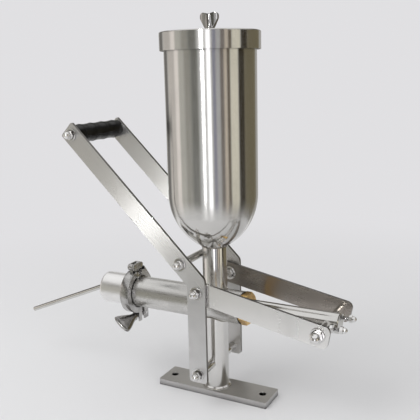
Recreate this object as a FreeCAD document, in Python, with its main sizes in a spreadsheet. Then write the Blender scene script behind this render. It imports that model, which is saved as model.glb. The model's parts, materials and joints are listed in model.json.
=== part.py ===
import FreeCAD, Part, Sketcher
import math
import os

from FreeCAD import Placement, Rotation, Vector

# Hand-lever piston filler for doughnuts, in millimetres.
# X runs along the pump, from the nozzle at -X to the crossbar at +X; Y is the depth; Z is up.
# The origin is on the axis of the post, at the underside of the base plate.

DRIVING_SIZES = {
    # base plate and post
    "base_length": 190.0,
    "base_width": 50.0,
    "base_thickness": 10.0,
    "base_corner": 2.0,
    "base_hole_dia": 11.0,
    "base_hole_spacing": 158.0,
    "post_dia": 38.1,
    "post_wall": 2.0,
    "weld_leg": 3.5,
    # pump tube, with the clamped joint at its front end
    "pump_height": 146.4,
    "pump_dia": 50.8,
    "pump_wall": 1.5,
    "pump_back": 48.0,
    "joint_reach": 149.5,
    "ferrule_dia": 64.0,
    "ferrule_edge": 2.85,
    "ferrule_angle": 20.0,
    "gasket_gap": 1.2,
    "gasket_lip": 1.0,
    # front cap and nozzle
    "cap_length": 58.5,
    "cap_wall": 2.0,
    "cap_edge": 4.0,
    "nozzle_dia": 8.0,
    "nozzle_bore": 6.0,
    "nozzle_lead": 6.2,
    "nozzle_bend": 26.0,
    "nozzle_drop_angle": 22.5,
    "nozzle_length": 180.5,
    # neck, hopper and lid
    "neck_dia": 38.1,
    "neck_wall": 1.5,
    "hopper_dia": 135.0,
    "hopper_wall": 1.2,
    "hopper_spring": 322.0,
    "hopper_side_radius": 92.5,
    "hopper_base_radius": 42.5,
    "hopper_top": 555.6,
    "hopper_bead": 2.0,
    "lid_dia": 147.0,
    "lid_depth": 26.0,
    "lid_wall": 1.5,
    "lid_edge": 2.0,
    "lid_gap": 0.3,
    "lid_stud_dia": 8.0,
    "lid_stud_length": 20.0,
    "lid_stud_head": 14.0,
    "lid_wing_hub": 14.0,
    "lid_wing_height": 26.0,
    "lid_wing_span": 30.6,
    "lid_wing_plate": 9.0,
    "lid_wing_lobe": 7.0,
    "lid_wing_dip": 2.2,
    "lid_wing_foot": 4.0,
    # clamp
    "clamp_dia": 73.0,
    "clamp_width": 15.5,
    "clamp_bore": 54.4,
    "clamp_clearance": 0.2,
    "clamp_front_from_angle": 102.0,
    "clamp_front_to_angle": 274.0,
    "clamp_rear_from_angle": -66.0,
    "clamp_rear_to_angle": 78.0,
    "clamp_pin_dia": 5.0,
    "clamp_pin_fit": 0.06,
    "clamp_pin_overhang": 0.5,
    "clamp_slot_play": 0.5,
    "clamp_neck_foot": 1.0,
    "clamp_boss_dia": 10.5,
    "clamp_boss_width": 6.0,
    "clamp_hinge_half": 9.0,
    "clamp_hinge_rise": 42.8,
    "clamp_link_plate": 2.4,
    "clamp_web_angle": 38.0,
    "clamp_web_room": 0.8,
    "clamp_web_root": 34.0,
    "clamp_bolt_drop": 43.5,
    "clamp_bolt_dia": 8.0,
    "clamp_lug_width": 13.0,
    "clamp_lug_end": 52.5,
    "clamp_front_lug": 8.0,
    "clamp_front_lug_at": -0.5,
    "clamp_eye_at": 17.0,
    "clamp_eye_dia": 14.0,
    "clamp_eye_width": 7.4,
    "clamp_eye_gap": 0.3,
    "clamp_ear_wall": 2.5,
    "clamp_bolt_length": 48.0,
    "clamp_nut_gap": 4.5,
    "clamp_nut_hub": 13.0,
    "clamp_nut_length": 38.0,
    "clamp_nut_neck": 12.0,
    "clamp_nut_span": 33.0,
    "clamp_nut_plate": 11.0,
    "clamp_nut_crown": 4.0,
    "clamp_nut_corner": 2.5,
    "clamp_nut_turn_angle": 38.0,
    # gland, rod and piston
    "gland_flats": 48.0,
    "gland_length": 9.5,
    "gland_spigot": 7.0,
    "gland_bevel": 2.0,
    "gland_washer": 1.5,
    "gland_fit": 0.05,
    "thread_fit": 0.1,
    "rod_dia": 30.0,
    "rod_tail": 15.5,
    "rod_bevel": 1.2,
    "rod_fit": 0.08,
    "rod_seal_section": 3.0,
    "seal_bevel": 0.6,
    "rod_spigot_dia": 16.0,
    "piston_at": 18.0,
    "piston_length": 14.0,
    "piston_fit": 0.1,
    "piston_ring_section": 3.0,
    "piston_nut_flats": 24.0,
    "piston_nut_height": 8.0,
    # crossbar and stroke screws
    "crossbar_dia": 14.0,
    "journal_dia": 10.0,
    "journal_fit": 0.06,
    "screw_offset": 23.0,
    "screw_dia": 6.0,
    "screw_tail": 33.0,
    "screw_head_at": 21.5,
    "lock_nut_flats": 10.0,
    "lock_nut_height": 5.0,
    "lock_washer_dia": 12.0,
    "lock_washer": 1.6,
    # lever
    "pivot_height": 52.5,
    "plate_thickness": 5.0,
    "lever_width": 30.0,
    "lever_half_gap": 57.0,
    "lever_bend_rise": 146.0,
    "lever_angle": 45.4,
    "arm_length": 302.0,
    "arm_end": 12.4,
    "foot_end": 12.5,
    "bend_radius": 10.0,
    "foot_corner": 5.0,
    "arm_corner": 3.0,
    "stop_gap": 0.5,
    "cross_rod_dia": 12.0,
    "pivot_bush_dia": 14.0,
    "grip_dia": 29.0,
    "grip_valley": 28.0,
    "grip_gap": 0.5,
    # links
    "crank_radius": 129.5,
    "link_length": 187.9,
    "link_width": 33.0,
    "link_corner": 9.0,
    "link_upper_end": 15.5,
    "link_spacer": 1.0,
    "link_play": 6.2,
    # how far a cutting tool runs past the face it cuts
    "tool_overrun": 2.0,
    # M8 and M10 fasteners
    "bolt_dia": 8.0,
    "bolt_fit": 0.08,
    "nut_flats": 13.0,
    "nut_height": 6.5,
    "nut_dome": 7.5,
    "washer_dia": 20.0,
    "washer_thickness": 1.6,
    "big_nut_flats": 16.0,
    "big_nut_height": 7.5,
    "big_nut_dome": 8.5,
    "big_washer_dia": 22.0,
    "big_washer_thickness": 2.0,
    "small_nut_dome": 6.0,
}


class Size:
    """A number of the model, carried together with the expression that the document keeps."""

    def __init__(self, text, value):
        self.text = text
        self.value = float(value)

    def __add__(self, other):
        other = as_size(other)
        return Size(f"({self.text} + {other.text})", self.value + other.value)

    def __sub__(self, other):
        other = as_size(other)
        return Size(f"({self.text} - {other.text})", self.value - other.value)

    def __mul__(self, other):
        other = as_size(other)
        return Size(f"({self.text} * {other.text})", self.value * other.value)

    def __truediv__(self, other):
        other = as_size(other)
        return Size(f"({self.text} / {other.text})", self.value / other.value)

    def __neg__(self):
        return Size(f"(0 - {self.text})", -self.value)

    __radd__ = __add__
    __rmul__ = __mul__

    def __rsub__(self, other):
        return as_size(other) - self


def as_size(number):
    """Wrap a plain count or ratio, such as the 2 of a half, as a Size."""
    if isinstance(number, Size):
        return number
    return Size(repr(float(number)), number)


def root(square):
    return Size(f"sqrt({square.text})", math.sqrt(square.value))


def sine(angle):
    angle = as_size(angle)
    return Size(f"sin({angle.text} * 1 deg)", math.sin(math.radians(angle.value)))


def cosine(angle):
    angle = as_size(angle)
    return Size(f"cos({angle.text} * 1 deg)", math.cos(math.radians(angle.value)))


def tangent(angle):
    angle = as_size(angle)
    return Size(f"tan({angle.text} * 1 deg)", math.tan(math.radians(angle.value)))


class Sizes:
    """The driving sizes by name, each as a Size that reads its cell of the sheet."""

    def __init__(self, sheet):
        for row, (alias, value) in enumerate(DRIVING_SIZES.items(), start=1):
            sheet.set(f"A{row}", alias)
            sheet.set(f"B{row}", str(value))
            sheet.setAlias(f"B{row}", alias)
            setattr(self, alias, Size(f"{sheet.Name}.{alias}", value))


doc = FreeCAD.newDocument("doughnut_filler")
sheet = doc.addObject("Spreadsheet::Sheet", "sizes")
s = Sizes(sheet)
doc.recompute()

parts = {}

ALONG_X = Rotation(Vector(0, 1, 0), 90)
ALONG_MINUS_X = Rotation(Vector(0, 1, 0), -90)
ALONG_Y = Rotation(Vector(1, 0, 0), -90)
ALONG_MINUS_Y = Rotation(Vector(1, 0, 0), 90)
UPRIGHT = Rotation()


def bind(obj, path, size):
    """Tie one property of an object to the sheet."""
    obj.setExpression(path, as_size(size).text)


def place(obj, at, rotation=UPRIGHT):
    """Put an object at a point worked out from the sheet, turned by a fixed rotation."""
    obj.Placement = Placement(Vector(*[as_size(c).value for c in at]), rotation)
    for axis, size in zip("xyz", at):
        bind(obj, f"Placement.Base.{axis}", size)
    return obj


def node(name, obj):
    """Name a finished sub-part; the label also names its file."""
    obj.Label = name
    parts[name] = obj
    return obj


def cylinder(name, dia, height, at, rotation=UPRIGHT):
    obj = doc.addObject("Part::Cylinder", name)
    bind(obj, "Radius", as_size(dia) / 2)
    bind(obj, "Height", height)
    return place(obj, at, rotation)


def cone(name, low_dia, high_dia, height, at, rotation=UPRIGHT):
    obj = doc.addObject("Part::Cone", name)
    bind(obj, "Radius1", as_size(low_dia) / 2)
    bind(obj, "Radius2", as_size(high_dia) / 2)
    bind(obj, "Height", height)
    return place(obj, at, rotation)


def box(name, sizes, at, rotation=UPRIGHT):
    """A box whose lowest corner is at the given point."""
    obj = doc.addObject("Part::Box", name)
    for side, size in zip(("Length", "Width", "Height"), sizes):
        bind(obj, side, size)
    return place(obj, at, rotation)


def hexagon(name, flats, height, at, rotation=UPRIGHT):
    obj = doc.addObject("Part::Prism", name)
    obj.Polygon = 6
    bind(obj, "Circumradius", as_size(flats) / 2 / cosine(30))
    bind(obj, "Height", height)
    return place(obj, at, rotation)


def fuse(name, shapes):
    obj = doc.addObject("Part::MultiFuse", name)
    obj.Shapes = shapes
    obj.Refine = True
    return obj


def cut(name, base, tools):
    obj = doc.addObject("Part::Cut", name)
    obj.Base = base
    obj.Tool = tools[0] if len(tools) == 1 else fuse(f"{name}_tools", tools)
    obj.Refine = True
    return obj


def common(name, base, tool):
    obj = doc.addObject("Part::Common", name)
    obj.Base = base
    obj.Tool = tool
    return obj


def group(name, shapes):
    """Several alike solids that share one node."""
    obj = doc.addObject("Part::Compound", name)
    obj.Links = shapes
    return obj


def new_body(name, at=(0, 0, 0), rotation=UPRIGHT):
    body = doc.addObject("PartDesign::Body", name)
    return place(body, at, rotation)


def new_sketch(body, name, role, offset=None):
    """A sketch on one of its own body's origin planes, lifted along the normal where asked."""
    sketch = body.newObject("Sketcher::SketchObject", name)
    support = [p for p in body.Origin.OriginFeatures if p.Role == role][0]
    sketch.AttachmentSupport = (support, [""])
    sketch.MapMode = "FlatFace"
    if offset is not None:
        bind(sketch, "AttachmentOffset.Base.z", offset)
    return sketch


def tie_point(sketch, geometry, end, point):
    """Fix one end of a line or arc, or a circle's centre, at two sizes."""
    for kind, size in zip(("DistanceX", "DistanceY"), point):
        size = as_size(size)
        index = sketch.addConstraint(Sketcher.Constraint(kind, -1, 1, geometry, end, size.value))
        bind(sketch, f"Constraints[{index}]", size)


def draw_outline(sketch, points, arcs=None):
    """A closed outline through points. arcs maps a side's number to (radius, centre)."""
    arcs = arcs or {}
    count = len(points)
    flat = [Vector(as_size(p[0]).value, as_size(p[1]).value, 0) for p in points]
    first_ends = []
    for side in range(count):
        start, end = flat[side], flat[(side + 1) % count]
        first_ends.append(1)
        if side not in arcs:
            sketch.addGeometry(Part.LineSegment(start, end), False)
            continue
        radius, centre = arcs[side]
        centre = Vector(as_size(centre[0]).value, as_size(centre[1]).value, 0)
        middle = centre + ((start + end) * 0.5 - centre).normalize() * as_size(radius).value
        # a sketch counts the ends of an arc counter-clockwise
        if (start - centre).cross(end - centre).z < 0:
            first_ends[side] = 2
            start, end = end, start
        sketch.addGeometry(Part.Arc(start, middle, end), False)
    for side in range(count):
        following = (side + 1) % count
        last_end = 3 - first_ends[side]
        sketch.addConstraint(
            Sketcher.Constraint("Coincident", side, last_end, following, first_ends[following]))
    for side, point in enumerate(points):
        tie_point(sketch, side, first_ends[side], point)
    for side, (radius, centre) in arcs.items():
        radius = as_size(radius)
        index = sketch.addConstraint(Sketcher.Constraint("Radius", side, radius.value))
        bind(sketch, f"Constraints[{index}]", radius)


def draw_circle(sketch, centre, dia):
    centre_now = Vector(as_size(centre[0]).value, as_size(centre[1]).value, 0)
    radius = as_size(dia) / 2
    index = sketch.addGeometry(Part.Circle(centre_now, Vector(0, 0, 1), radius.value), False)
    limit = sketch.addConstraint(Sketcher.Constraint("Radius", index, radius.value))
    bind(sketch, f"Constraints[{limit}]", radius)
    tie_point(sketch, index, 3, centre)


def pad(body, name, sketch, length, midplane=False, reverse=False):
    feature = body.newObject("PartDesign::Pad", name)
    feature.Profile = sketch
    feature.Midplane = midplane
    feature.Reversed = reverse
    bind(feature, "Length", length)
    return feature


def pocket(body, name, sketch, midplane=True):
    """A cut through the whole body; its effect on the volume is checked."""
    doc.recompute()
    before = body.Shape.Volume
    feature = body.newObject("PartDesign::Pocket", name)
    feature.Profile = sketch
    feature.Type = "ThroughAll"
    feature.Midplane = midplane
    doc.recompute()
    if body.Shape.Volume >= before:
        raise ValueError(f"{body.Name}: {name} cuts nothing")
    return feature


def revolve(body, name, sketch, axis_role, angle=None):
    feature = body.newObject("PartDesign::Revolution", name)
    feature.Profile = sketch
    axis = [p for p in body.Origin.OriginFeatures if p.Role == axis_role][0]
    feature.ReferenceAxis = (axis, [""])
    if angle is None:
        feature.Angle = 360
    else:
        feature.Midplane = True
        bind(feature, "Angle", angle)
    return feature


def round_corners(body, name, points, direction, radius):
    """Fillet the straight edges that run along a direction through the given points."""
    doc.recompute()
    base = body.Tip
    wanted = []
    for index, edge in enumerate(base.Shape.Edges, start=1):
        if edge.Curve.TypeId != "Part::GeomLine":
            continue
        along = (edge.Vertexes[-1].Point - edge.Vertexes[0].Point).normalize()
        if abs(along.dot(direction)) < 0.999:
            continue
        for point in points:
            offset = edge.Vertexes[0].Point - point
            if (offset - direction * offset.dot(direction)).Length < 0.05:
                wanted.append(f"Edge{index}")
    if len(wanted) < len(points):
        raise ValueError(f"{body.Name}: {name} found {len(wanted)} of {len(points)} edges")
    feature = body.newObject("PartDesign::Fillet", name)
    feature.Base = (base, wanted)
    bind(feature, "Radius", radius)
    return feature


def flat_point(x, z):
    """The present place of a sketch point of the XZ plane."""
    return Vector(as_size(x).value, 0, as_size(z).value)


# Heights, lengths and places that follow from the driving sizes
pump_radius = s.pump_dia / 2
pump_bore = s.pump_dia - 2 * s.pump_wall
neck_radius = s.neck_dia / 2
hopper_radius = s.hopper_dia / 2
post_radius = s.post_dia / 2
ferrule_radius = s.ferrule_dia / 2

side_offset = s.hopper_side_radius - hopper_radius
radius_step = s.hopper_side_radius - s.hopper_base_radius
dome_centre = s.hopper_spring - root(radius_step * radius_step - side_offset * side_offset)
neck_top = dome_centre - root(s.hopper_base_radius * s.hopper_base_radius - neck_radius * neck_radius)

crank_height = s.pivot_height + s.crank_radius
link_rise = crank_height - s.pump_height
crosshead_x = root(s.link_length * s.link_length - link_rise * link_rise)
rod_end = crosshead_x + s.rod_tail

lever_outer = s.lever_half_gap + s.plate_thickness
link_outer = s.lever_half_gap - s.link_spacer
link_inner = link_outer - s.plate_thickness
bend_height = s.pivot_height + s.lever_bend_rise
arm_x = -sine(s.lever_angle)
arm_z = cosine(s.lever_angle)
grip_x = arm_x * s.arm_length
grip_z = bend_height + arm_z * s.arm_length
stop_x = neck_radius + s.cross_rod_dia / 2 + s.stop_gap
stop_z = bend_height + stop_x / tangent(s.lever_angle)
lid_top = s.hopper_top + s.lid_gap + s.lid_wall


def make_base_plate():
    """Flat bar with a bolt hole near each end."""
    body = new_body("base_plate")
    half_length = s.base_length / 2
    half_width = s.base_width / 2
    outline = new_sketch(body, "base_outline", "XY_Plane")
    draw_outline(outline, [
        (-half_length, -half_width), (half_length, -half_width),
        (half_length, half_width), (-half_length, half_width)])
    pad(body, "base_bar", outline, s.base_thickness)
    holes = new_sketch(body, "base_holes", "XY_Plane")
    for side in (-1, 1):
        draw_circle(holes, (side * s.base_hole_spacing / 2, 0), s.base_hole_dia)
    pocket(body, "base_bolt_holes", holes)
    corners = [Vector(x * half_length.value, y * half_width.value, 0)
               for x in (-1, 1) for y in (-1, 1)]
    round_corners(body, "base_corners", corners, Vector(0, 0, 1), s.base_corner)
    return node("base_plate", body)


def make_post():
    """Upright tube, coped to the pump tube at its top, with its weld fillet on the plate."""
    height = s.pump_height - s.base_thickness
    outer = cylinder("post_outer", s.post_dia, height, (0, 0, s.base_thickness))
    weld = cone("post_weld", s.post_dia + 2 * s.weld_leg, s.post_dia, s.weld_leg,
                (0, 0, s.base_thickness))
    solid = fuse("post_solid", [outer, weld])
    bore = cylinder("post_bore", s.post_dia - 2 * s.post_wall, height, (0, 0, s.base_thickness))
    saddle = cylinder("post_saddle", s.pump_dia, s.post_dia * 2,
                      (-s.post_dia, 0, s.pump_height), ALONG_X)
    pin_hole = cylinder("post_pin_hole", s.bolt_dia + 2 * s.bolt_fit, s.post_dia * 2,
                        (0, -s.post_dia, s.pivot_height), ALONG_Y)
    return node("post_tube", cut("post_cut", solid, [bore, saddle, pin_hole]))


def ferrule_outline(direction, end):
    """Section of a tube whose joint end has a bevelled clamp flange, as (x, radius) points."""
    face = direction * s.gasket_gap / 2
    rim = face + direction * s.ferrule_edge
    slope = (ferrule_radius - pump_radius) * tangent(s.ferrule_angle)
    root_x = rim + direction * slope
    return [(face, pump_bore / 2), (face, ferrule_radius), (rim, ferrule_radius),
            (root_x, pump_radius), (end, pump_radius)]


def make_pump_cylinder():
    """Horizontal pump tube: clamp flange in front, plain end for the gland, inlet port on top."""
    body = new_body("pump_cylinder", (-s.joint_reach, 0, s.pump_height))
    end = s.joint_reach + s.pump_back
    section = new_sketch(body, "pump_section", "XZ_Plane")
    draw_outline(section, ferrule_outline(1, end) + [(end, pump_bore / 2)])
    revolve(body, "pump_tube", section, "X_Axis")
    doc.recompute()
    port = new_sketch(body, "pump_port", "XY_Plane")
    draw_circle(port, (s.joint_reach, 0), s.neck_dia - 2 * s.neck_wall)
    before = body.Shape.Volume
    opening = body.newObject("PartDesign::Pocket", "pump_inlet")
    opening.Profile = port
    opening.Reversed = True
    bind(opening, "Length", s.pump_dia)
    doc.recompute()
    if body.Shape.Volume >= before:
        raise ValueError("the inlet port cuts nothing")
    return node("pump_cylinder", body)


def make_neck():
    """Short tube from the pump up to the hopper, coped to the pump tube."""
    height = neck_top - s.pump_height
    outer = cylinder("neck_outer", s.neck_dia, height, (0, 0, s.pump_height))
    bore = cylinder("neck_bore", s.neck_dia - 2 * s.neck_wall, height, (0, 0, s.pump_height))
    saddle = cylinder("neck_saddle", s.pump_dia, s.neck_dia * 2,
                      (-s.neck_dia, 0, s.pump_height), ALONG_X)
    return node("neck_tube", cut("neck_cut", outer, [bore, saddle]))


def make_hopper():
    """Spun hopper: straight wall, a bowl of two tangent arcs, and an outlet that meets the neck."""
    body = new_body("hopper_shell")
    wall = s.hopper_wall
    inner_radius = hopper_radius - wall
    inner_side = s.hopper_side_radius - wall
    inner_base = s.hopper_base_radius - wall
    outlet = neck_radius - s.neck_wall
    # the two arcs touch where the line through both centres meets them
    reach = radius_step
    lean_x = side_offset / reach
    lean_z = (s.hopper_spring - dome_centre) / reach
    side_centre = (-side_offset, s.hopper_spring)
    base_centre = (0, dome_centre)
    outer_touch = (s.hopper_base_radius * lean_x, dome_centre - s.hopper_base_radius * lean_z)
    inner_touch = (inner_base * lean_x, dome_centre - inner_base * lean_z)
    inner_bottom = dome_centre - root(inner_base * inner_base - outlet * outlet)
    points = [
        (inner_radius, s.hopper_top),
        (hopper_radius + s.hopper_bead, s.hopper_top),
        (hopper_radius + s.hopper_bead, s.hopper_top - s.hopper_bead),
        (hopper_radius, s.hopper_top - 2 * s.hopper_bead),
        (hopper_radius, s.hopper_spring),
        outer_touch,
        (neck_radius, neck_top),
        (outlet, neck_top),
        (outlet, inner_bottom),
        inner_touch,
        (inner_radius, s.hopper_spring),
    ]
    arcs = {
        4: (s.hopper_side_radius, side_centre),
        5: (s.hopper_base_radius, base_centre),
        8: (inner_base, base_centre),
        9: (inner_side, side_centre),
    }
    section = new_sketch(body, "hopper_section", "XZ_Plane")
    draw_outline(section, points, arcs)
    revolve(body, "hopper_wall_turned", section, "Z_Axis")
    return node("hopper_shell", body)


def make_lid():
    """Drawn cap whose disc rests on the hopper's rim and whose skirt hangs outside it."""
    body = new_body("lid")
    lid_radius = s.lid_dia / 2
    inner = lid_radius - s.lid_wall
    bottom = lid_top - s.lid_depth
    stud = s.lid_stud_dia / 2 + s.bolt_fit
    section = new_sketch(body, "lid_section", "XZ_Plane")
    draw_outline(section, [
        (stud, lid_top), (stud, lid_top - s.lid_wall), (inner, lid_top - s.lid_wall),
        (inner, bottom), (lid_radius, bottom), (lid_radius, lid_top - s.lid_edge),
        (lid_radius - s.lid_edge, lid_top)],
        {5: (s.lid_edge, (lid_radius - s.lid_edge, lid_top - s.lid_edge))})
    revolve(body, "lid_turned", section, "Z_Axis")
    return node("lid", body)


def make_lid_stud():
    """Screw that stands up through the lid, its flat head underneath."""
    shank = cylinder("lid_stud_shank", s.lid_stud_dia, s.lid_stud_length + s.lid_wall,
                     (0, 0, lid_top - s.lid_wall))
    head = cylinder("lid_stud_plate", s.lid_stud_head, s.lid_stud_dia / 4,
                    (0, 0, lid_top - s.lid_wall - s.lid_stud_dia / 4))
    return node("lid_stud", fuse("lid_stud_fused", [shank, head]))


def oval_prism(name, span, thickness, length, at, rotation=UPRIGHT):
    """An oval bar along +Z of its own frame, its long axis along X."""
    oval = doc.addObject("Part::Ellipse", f"{name}_oval")
    bind(oval, "MajorRadius", span / 2)
    bind(oval, "MinorRadius", thickness / 2)
    bar = doc.addObject("Part::Extrusion", name)
    bar.Base = oval
    bar.DirMode = "Custom"
    bar.Dir = Vector(0, 0, 1)
    bar.Solid = True
    bind(bar, "LengthFwd", length)
    return place(bar, at, rotation)


def make_lid_wing_nut():
    """Wing nut used as the lid's handle: a tapered hub between two rounded wings."""
    base = lid_top + s.lid_gap
    hub = cone("lid_wing_hub_cone", s.lid_wing_hub, s.lid_wing_hub * 0.76,
               s.lid_wing_height - s.lid_wing_dip, (0, 0, base))
    body = new_body("lid_wings", (0, 0, base))
    half = s.lid_wing_span / 2
    foot = s.lid_wing_foot
    tip = s.lid_wing_height
    lobe = s.lid_wing_lobe
    waist = s.lid_wing_hub * 0.42
    outline = new_sketch(body, "lid_wing_outline", "XZ_Plane")
    points = [(0, foot), (waist, foot), (half, tip - lobe), (half - lobe, tip),
              (0, tip - s.lid_wing_dip), (lobe - half, tip), (-half, tip - lobe), (-waist, foot)]
    draw_outline(outline, points, {2: (lobe, (half - lobe, tip - lobe)),
                                   5: (lobe, (lobe - half, tip - lobe))})
    pad(body, "lid_wing_plate_pad", outline, s.lid_wing_plate, midplane=True)
    oval = oval_prism("lid_wing_oval_bar", s.lid_wing_span, s.lid_wing_plate, tip, (0, 0, base))
    wings = common("lid_wings_rounded", body, oval)
    solid = fuse("lid_wing_solid", [hub, wings])
    bore = cylinder("lid_wing_bore", s.lid_stud_dia + 2 * s.bolt_fit, s.lid_wing_height * 2,
                    (0, 0, base - s.lid_wing_height / 2))
    return node("lid_wing_nut", cut("lid_wing_cut", solid, [bore]))


def make_nozzle_cap():
    """Front cap: a short tube with a closed, rounded end and the same clamp flange."""
    body = new_body("nozzle_cap", (-s.joint_reach, 0, s.pump_height))
    end = -s.cap_length
    bore = s.nozzle_dia / 2
    inner_end = end + s.cap_wall
    points = ferrule_outline(-1, end + s.cap_edge)
    points += [(end, pump_radius - s.cap_edge), (end, bore), (inner_end, bore),
               (inner_end, pump_bore / 2)]
    section = new_sketch(body, "cap_section", "XZ_Plane")
    draw_outline(section, points, {4: (s.cap_edge, (end + s.cap_edge, pump_radius - s.cap_edge))})
    revolve(body, "cap_turned", section, "X_Axis")
    return node("nozzle_cap", body)


def make_nozzle_tube():
    """Thin filling tube: a lead out of the cap, one bend and a long straight run."""
    start_x = -s.joint_reach - s.cap_length + s.cap_wall
    body = new_body("nozzle_tube", (start_x, 0, s.pump_height))
    lead = s.nozzle_lead + s.cap_wall
    tangent_length = s.nozzle_bend * tangent(s.nozzle_drop_angle / 2)
    bend_start = (-(lead - tangent_length), 0)
    bend_end = (-lead - tangent_length * cosine(s.nozzle_drop_angle),
                -(tangent_length * sine(s.nozzle_drop_angle)))
    tip = (-lead - s.nozzle_length * cosine(s.nozzle_drop_angle),
           -(s.nozzle_length * sine(s.nozzle_drop_angle)))
    path = new_sketch(body, "nozzle_path", "XZ_Plane")
    spots = [Vector(as_size(x).value, as_size(z).value, 0)
             for x, z in ((0, 0), bend_start, bend_end, tip)]
    centre = Vector(bend_start[0].value, -s.nozzle_bend.value, 0)
    middle = centre + ((spots[1] + spots[2]) * 0.5 - centre).normalize() * s.nozzle_bend.value
    path.addGeometry(Part.LineSegment(spots[0], spots[1]), False)
    path.addGeometry(Part.Arc(spots[1], middle, spots[2]), False)
    path.addGeometry(Part.LineSegment(spots[2], spots[3]), False)
    arc = path.Geometry[1]
    first = 1 if arc.StartPoint.distanceToPoint(spots[1]) < 1e-6 else 2
    path.addConstraint(Sketcher.Constraint("Coincident", 0, 2, 1, first))
    path.addConstraint(Sketcher.Constraint("Coincident", 1, 3 - first, 2, 1))
    tie_point(path, 0, 1, (0, 0))
    tie_point(path, 0, 2, bend_start)
    tie_point(path, 2, 1, bend_end)
    tie_point(path, 2, 2, tip)
    index = path.addConstraint(Sketcher.Constraint("Radius", 1, s.nozzle_bend.value))
    bind(path, f"Constraints[{index}]", s.nozzle_bend)
    section = new_sketch(body, "nozzle_section", "YZ_Plane")
    draw_circle(section, (0, 0), s.nozzle_dia)
    draw_circle(section, (0, 0), s.nozzle_bore)
    doc.recompute()
    pipe = body.newObject("PartDesign::AdditivePipe", "nozzle_pipe")
    pipe.Profile = section
    pipe.Spine = path
    return node("nozzle_tube", body)


def make_ferrule_gasket():
    """Moulded ring squeezed between the two clamp flanges."""
    width = s.gasket_gap
    outer = cylinder("gasket_outer", s.ferrule_dia, width,
                     (-s.joint_reach - width / 2, 0, s.pump_height), ALONG_X)
    bore = cylinder("gasket_bore", pump_bore + 2 * s.gasket_lip, width + s.tool_overrun,
                    (-s.joint_reach - width / 2 - s.tool_overrun / 2, 0, s.pump_height), ALONG_X)
    return node("ferrule_gasket", cut("gasket_cut", outer, [bore]))


def clamp_ring(name, start, end):
    """One half of the clamp's ring: a grooved section carried from one angle to another."""
    middle = (start + end) / 2
    body = doc.addObject("PartDesign::Body", name)
    place(body, (-s.joint_reach, 0, s.pump_height), Rotation(Vector(1, 0, 0), middle.value - 90))
    half = s.clamp_width / 2
    bore = s.clamp_bore / 2
    top = s.clamp_dia / 2
    floor = ferrule_radius + s.clamp_clearance
    mouth = s.gasket_gap / 2 + s.ferrule_edge + s.clamp_clearance
    lip = mouth + (ferrule_radius - bore) * tangent(s.ferrule_angle)
    section = new_sketch(body, f"{name}_section", "XZ_Plane")
    draw_outline(section, [
        (-half, bore), (-lip, bore), (-mouth, floor), (mouth, floor), (lip, bore), (half, bore),
        (half, top), (-half, top)])
    revolve(body, f"{name}_turned", section, "X_Axis", end - start)
    return body


def across(name, dia, width, y, z):
    """A short cylinder across the clamp, along X, centred on the joint."""
    return cylinder(name, dia, width, (-s.joint_reach - width / 2, y, s.pump_height + z), ALONG_X)


def hinge_web():
    """Web from the rear hinge boss down to the ring: narrow between the link plates, full width beyond."""
    radius = s.clamp_dia / 2
    top = (s.clamp_hinge_half, s.clamp_hinge_rise + s.clamp_boss_dia * 0.45)
    touch = (radius * cosine(s.clamp_web_angle), radius * sine(s.clamp_web_angle))
    root_spot = (s.clamp_web_root * cosine(s.clamp_web_angle), s.clamp_web_root * sine(s.clamp_web_angle))
    start = s.clamp_hinge_half + s.clamp_boss_dia / 2 + s.clamp_web_room
    slope = (touch[1] - top[1]) / (touch[0] - top[0])
    start_top = top[1] + (start - top[0]) * slope
    start_root = root(s.clamp_web_root * s.clamp_web_root - start * start)
    outlines = {
        "narrow": ([top, (s.clamp_hinge_half, s.clamp_web_root), (start, start_root), (start, start_top)],
                   s.clamp_boss_width),
        "wide": ([(start, start_top), (start, start_root), root_spot, touch], s.clamp_width),
    }
    webs = []
    for tag, (points, width) in outlines.items():
        body = new_body(f"clamp_web_{tag}", (-s.joint_reach, 0, s.pump_height))
        outline = new_sketch(body, f"clamp_web_{tag}_outline", "YZ_Plane")
        draw_outline(outline, points)
        pad(body, f"clamp_web_{tag}_pad", outline, width, midplane=True)
        webs.append(body)
    return webs


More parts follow.
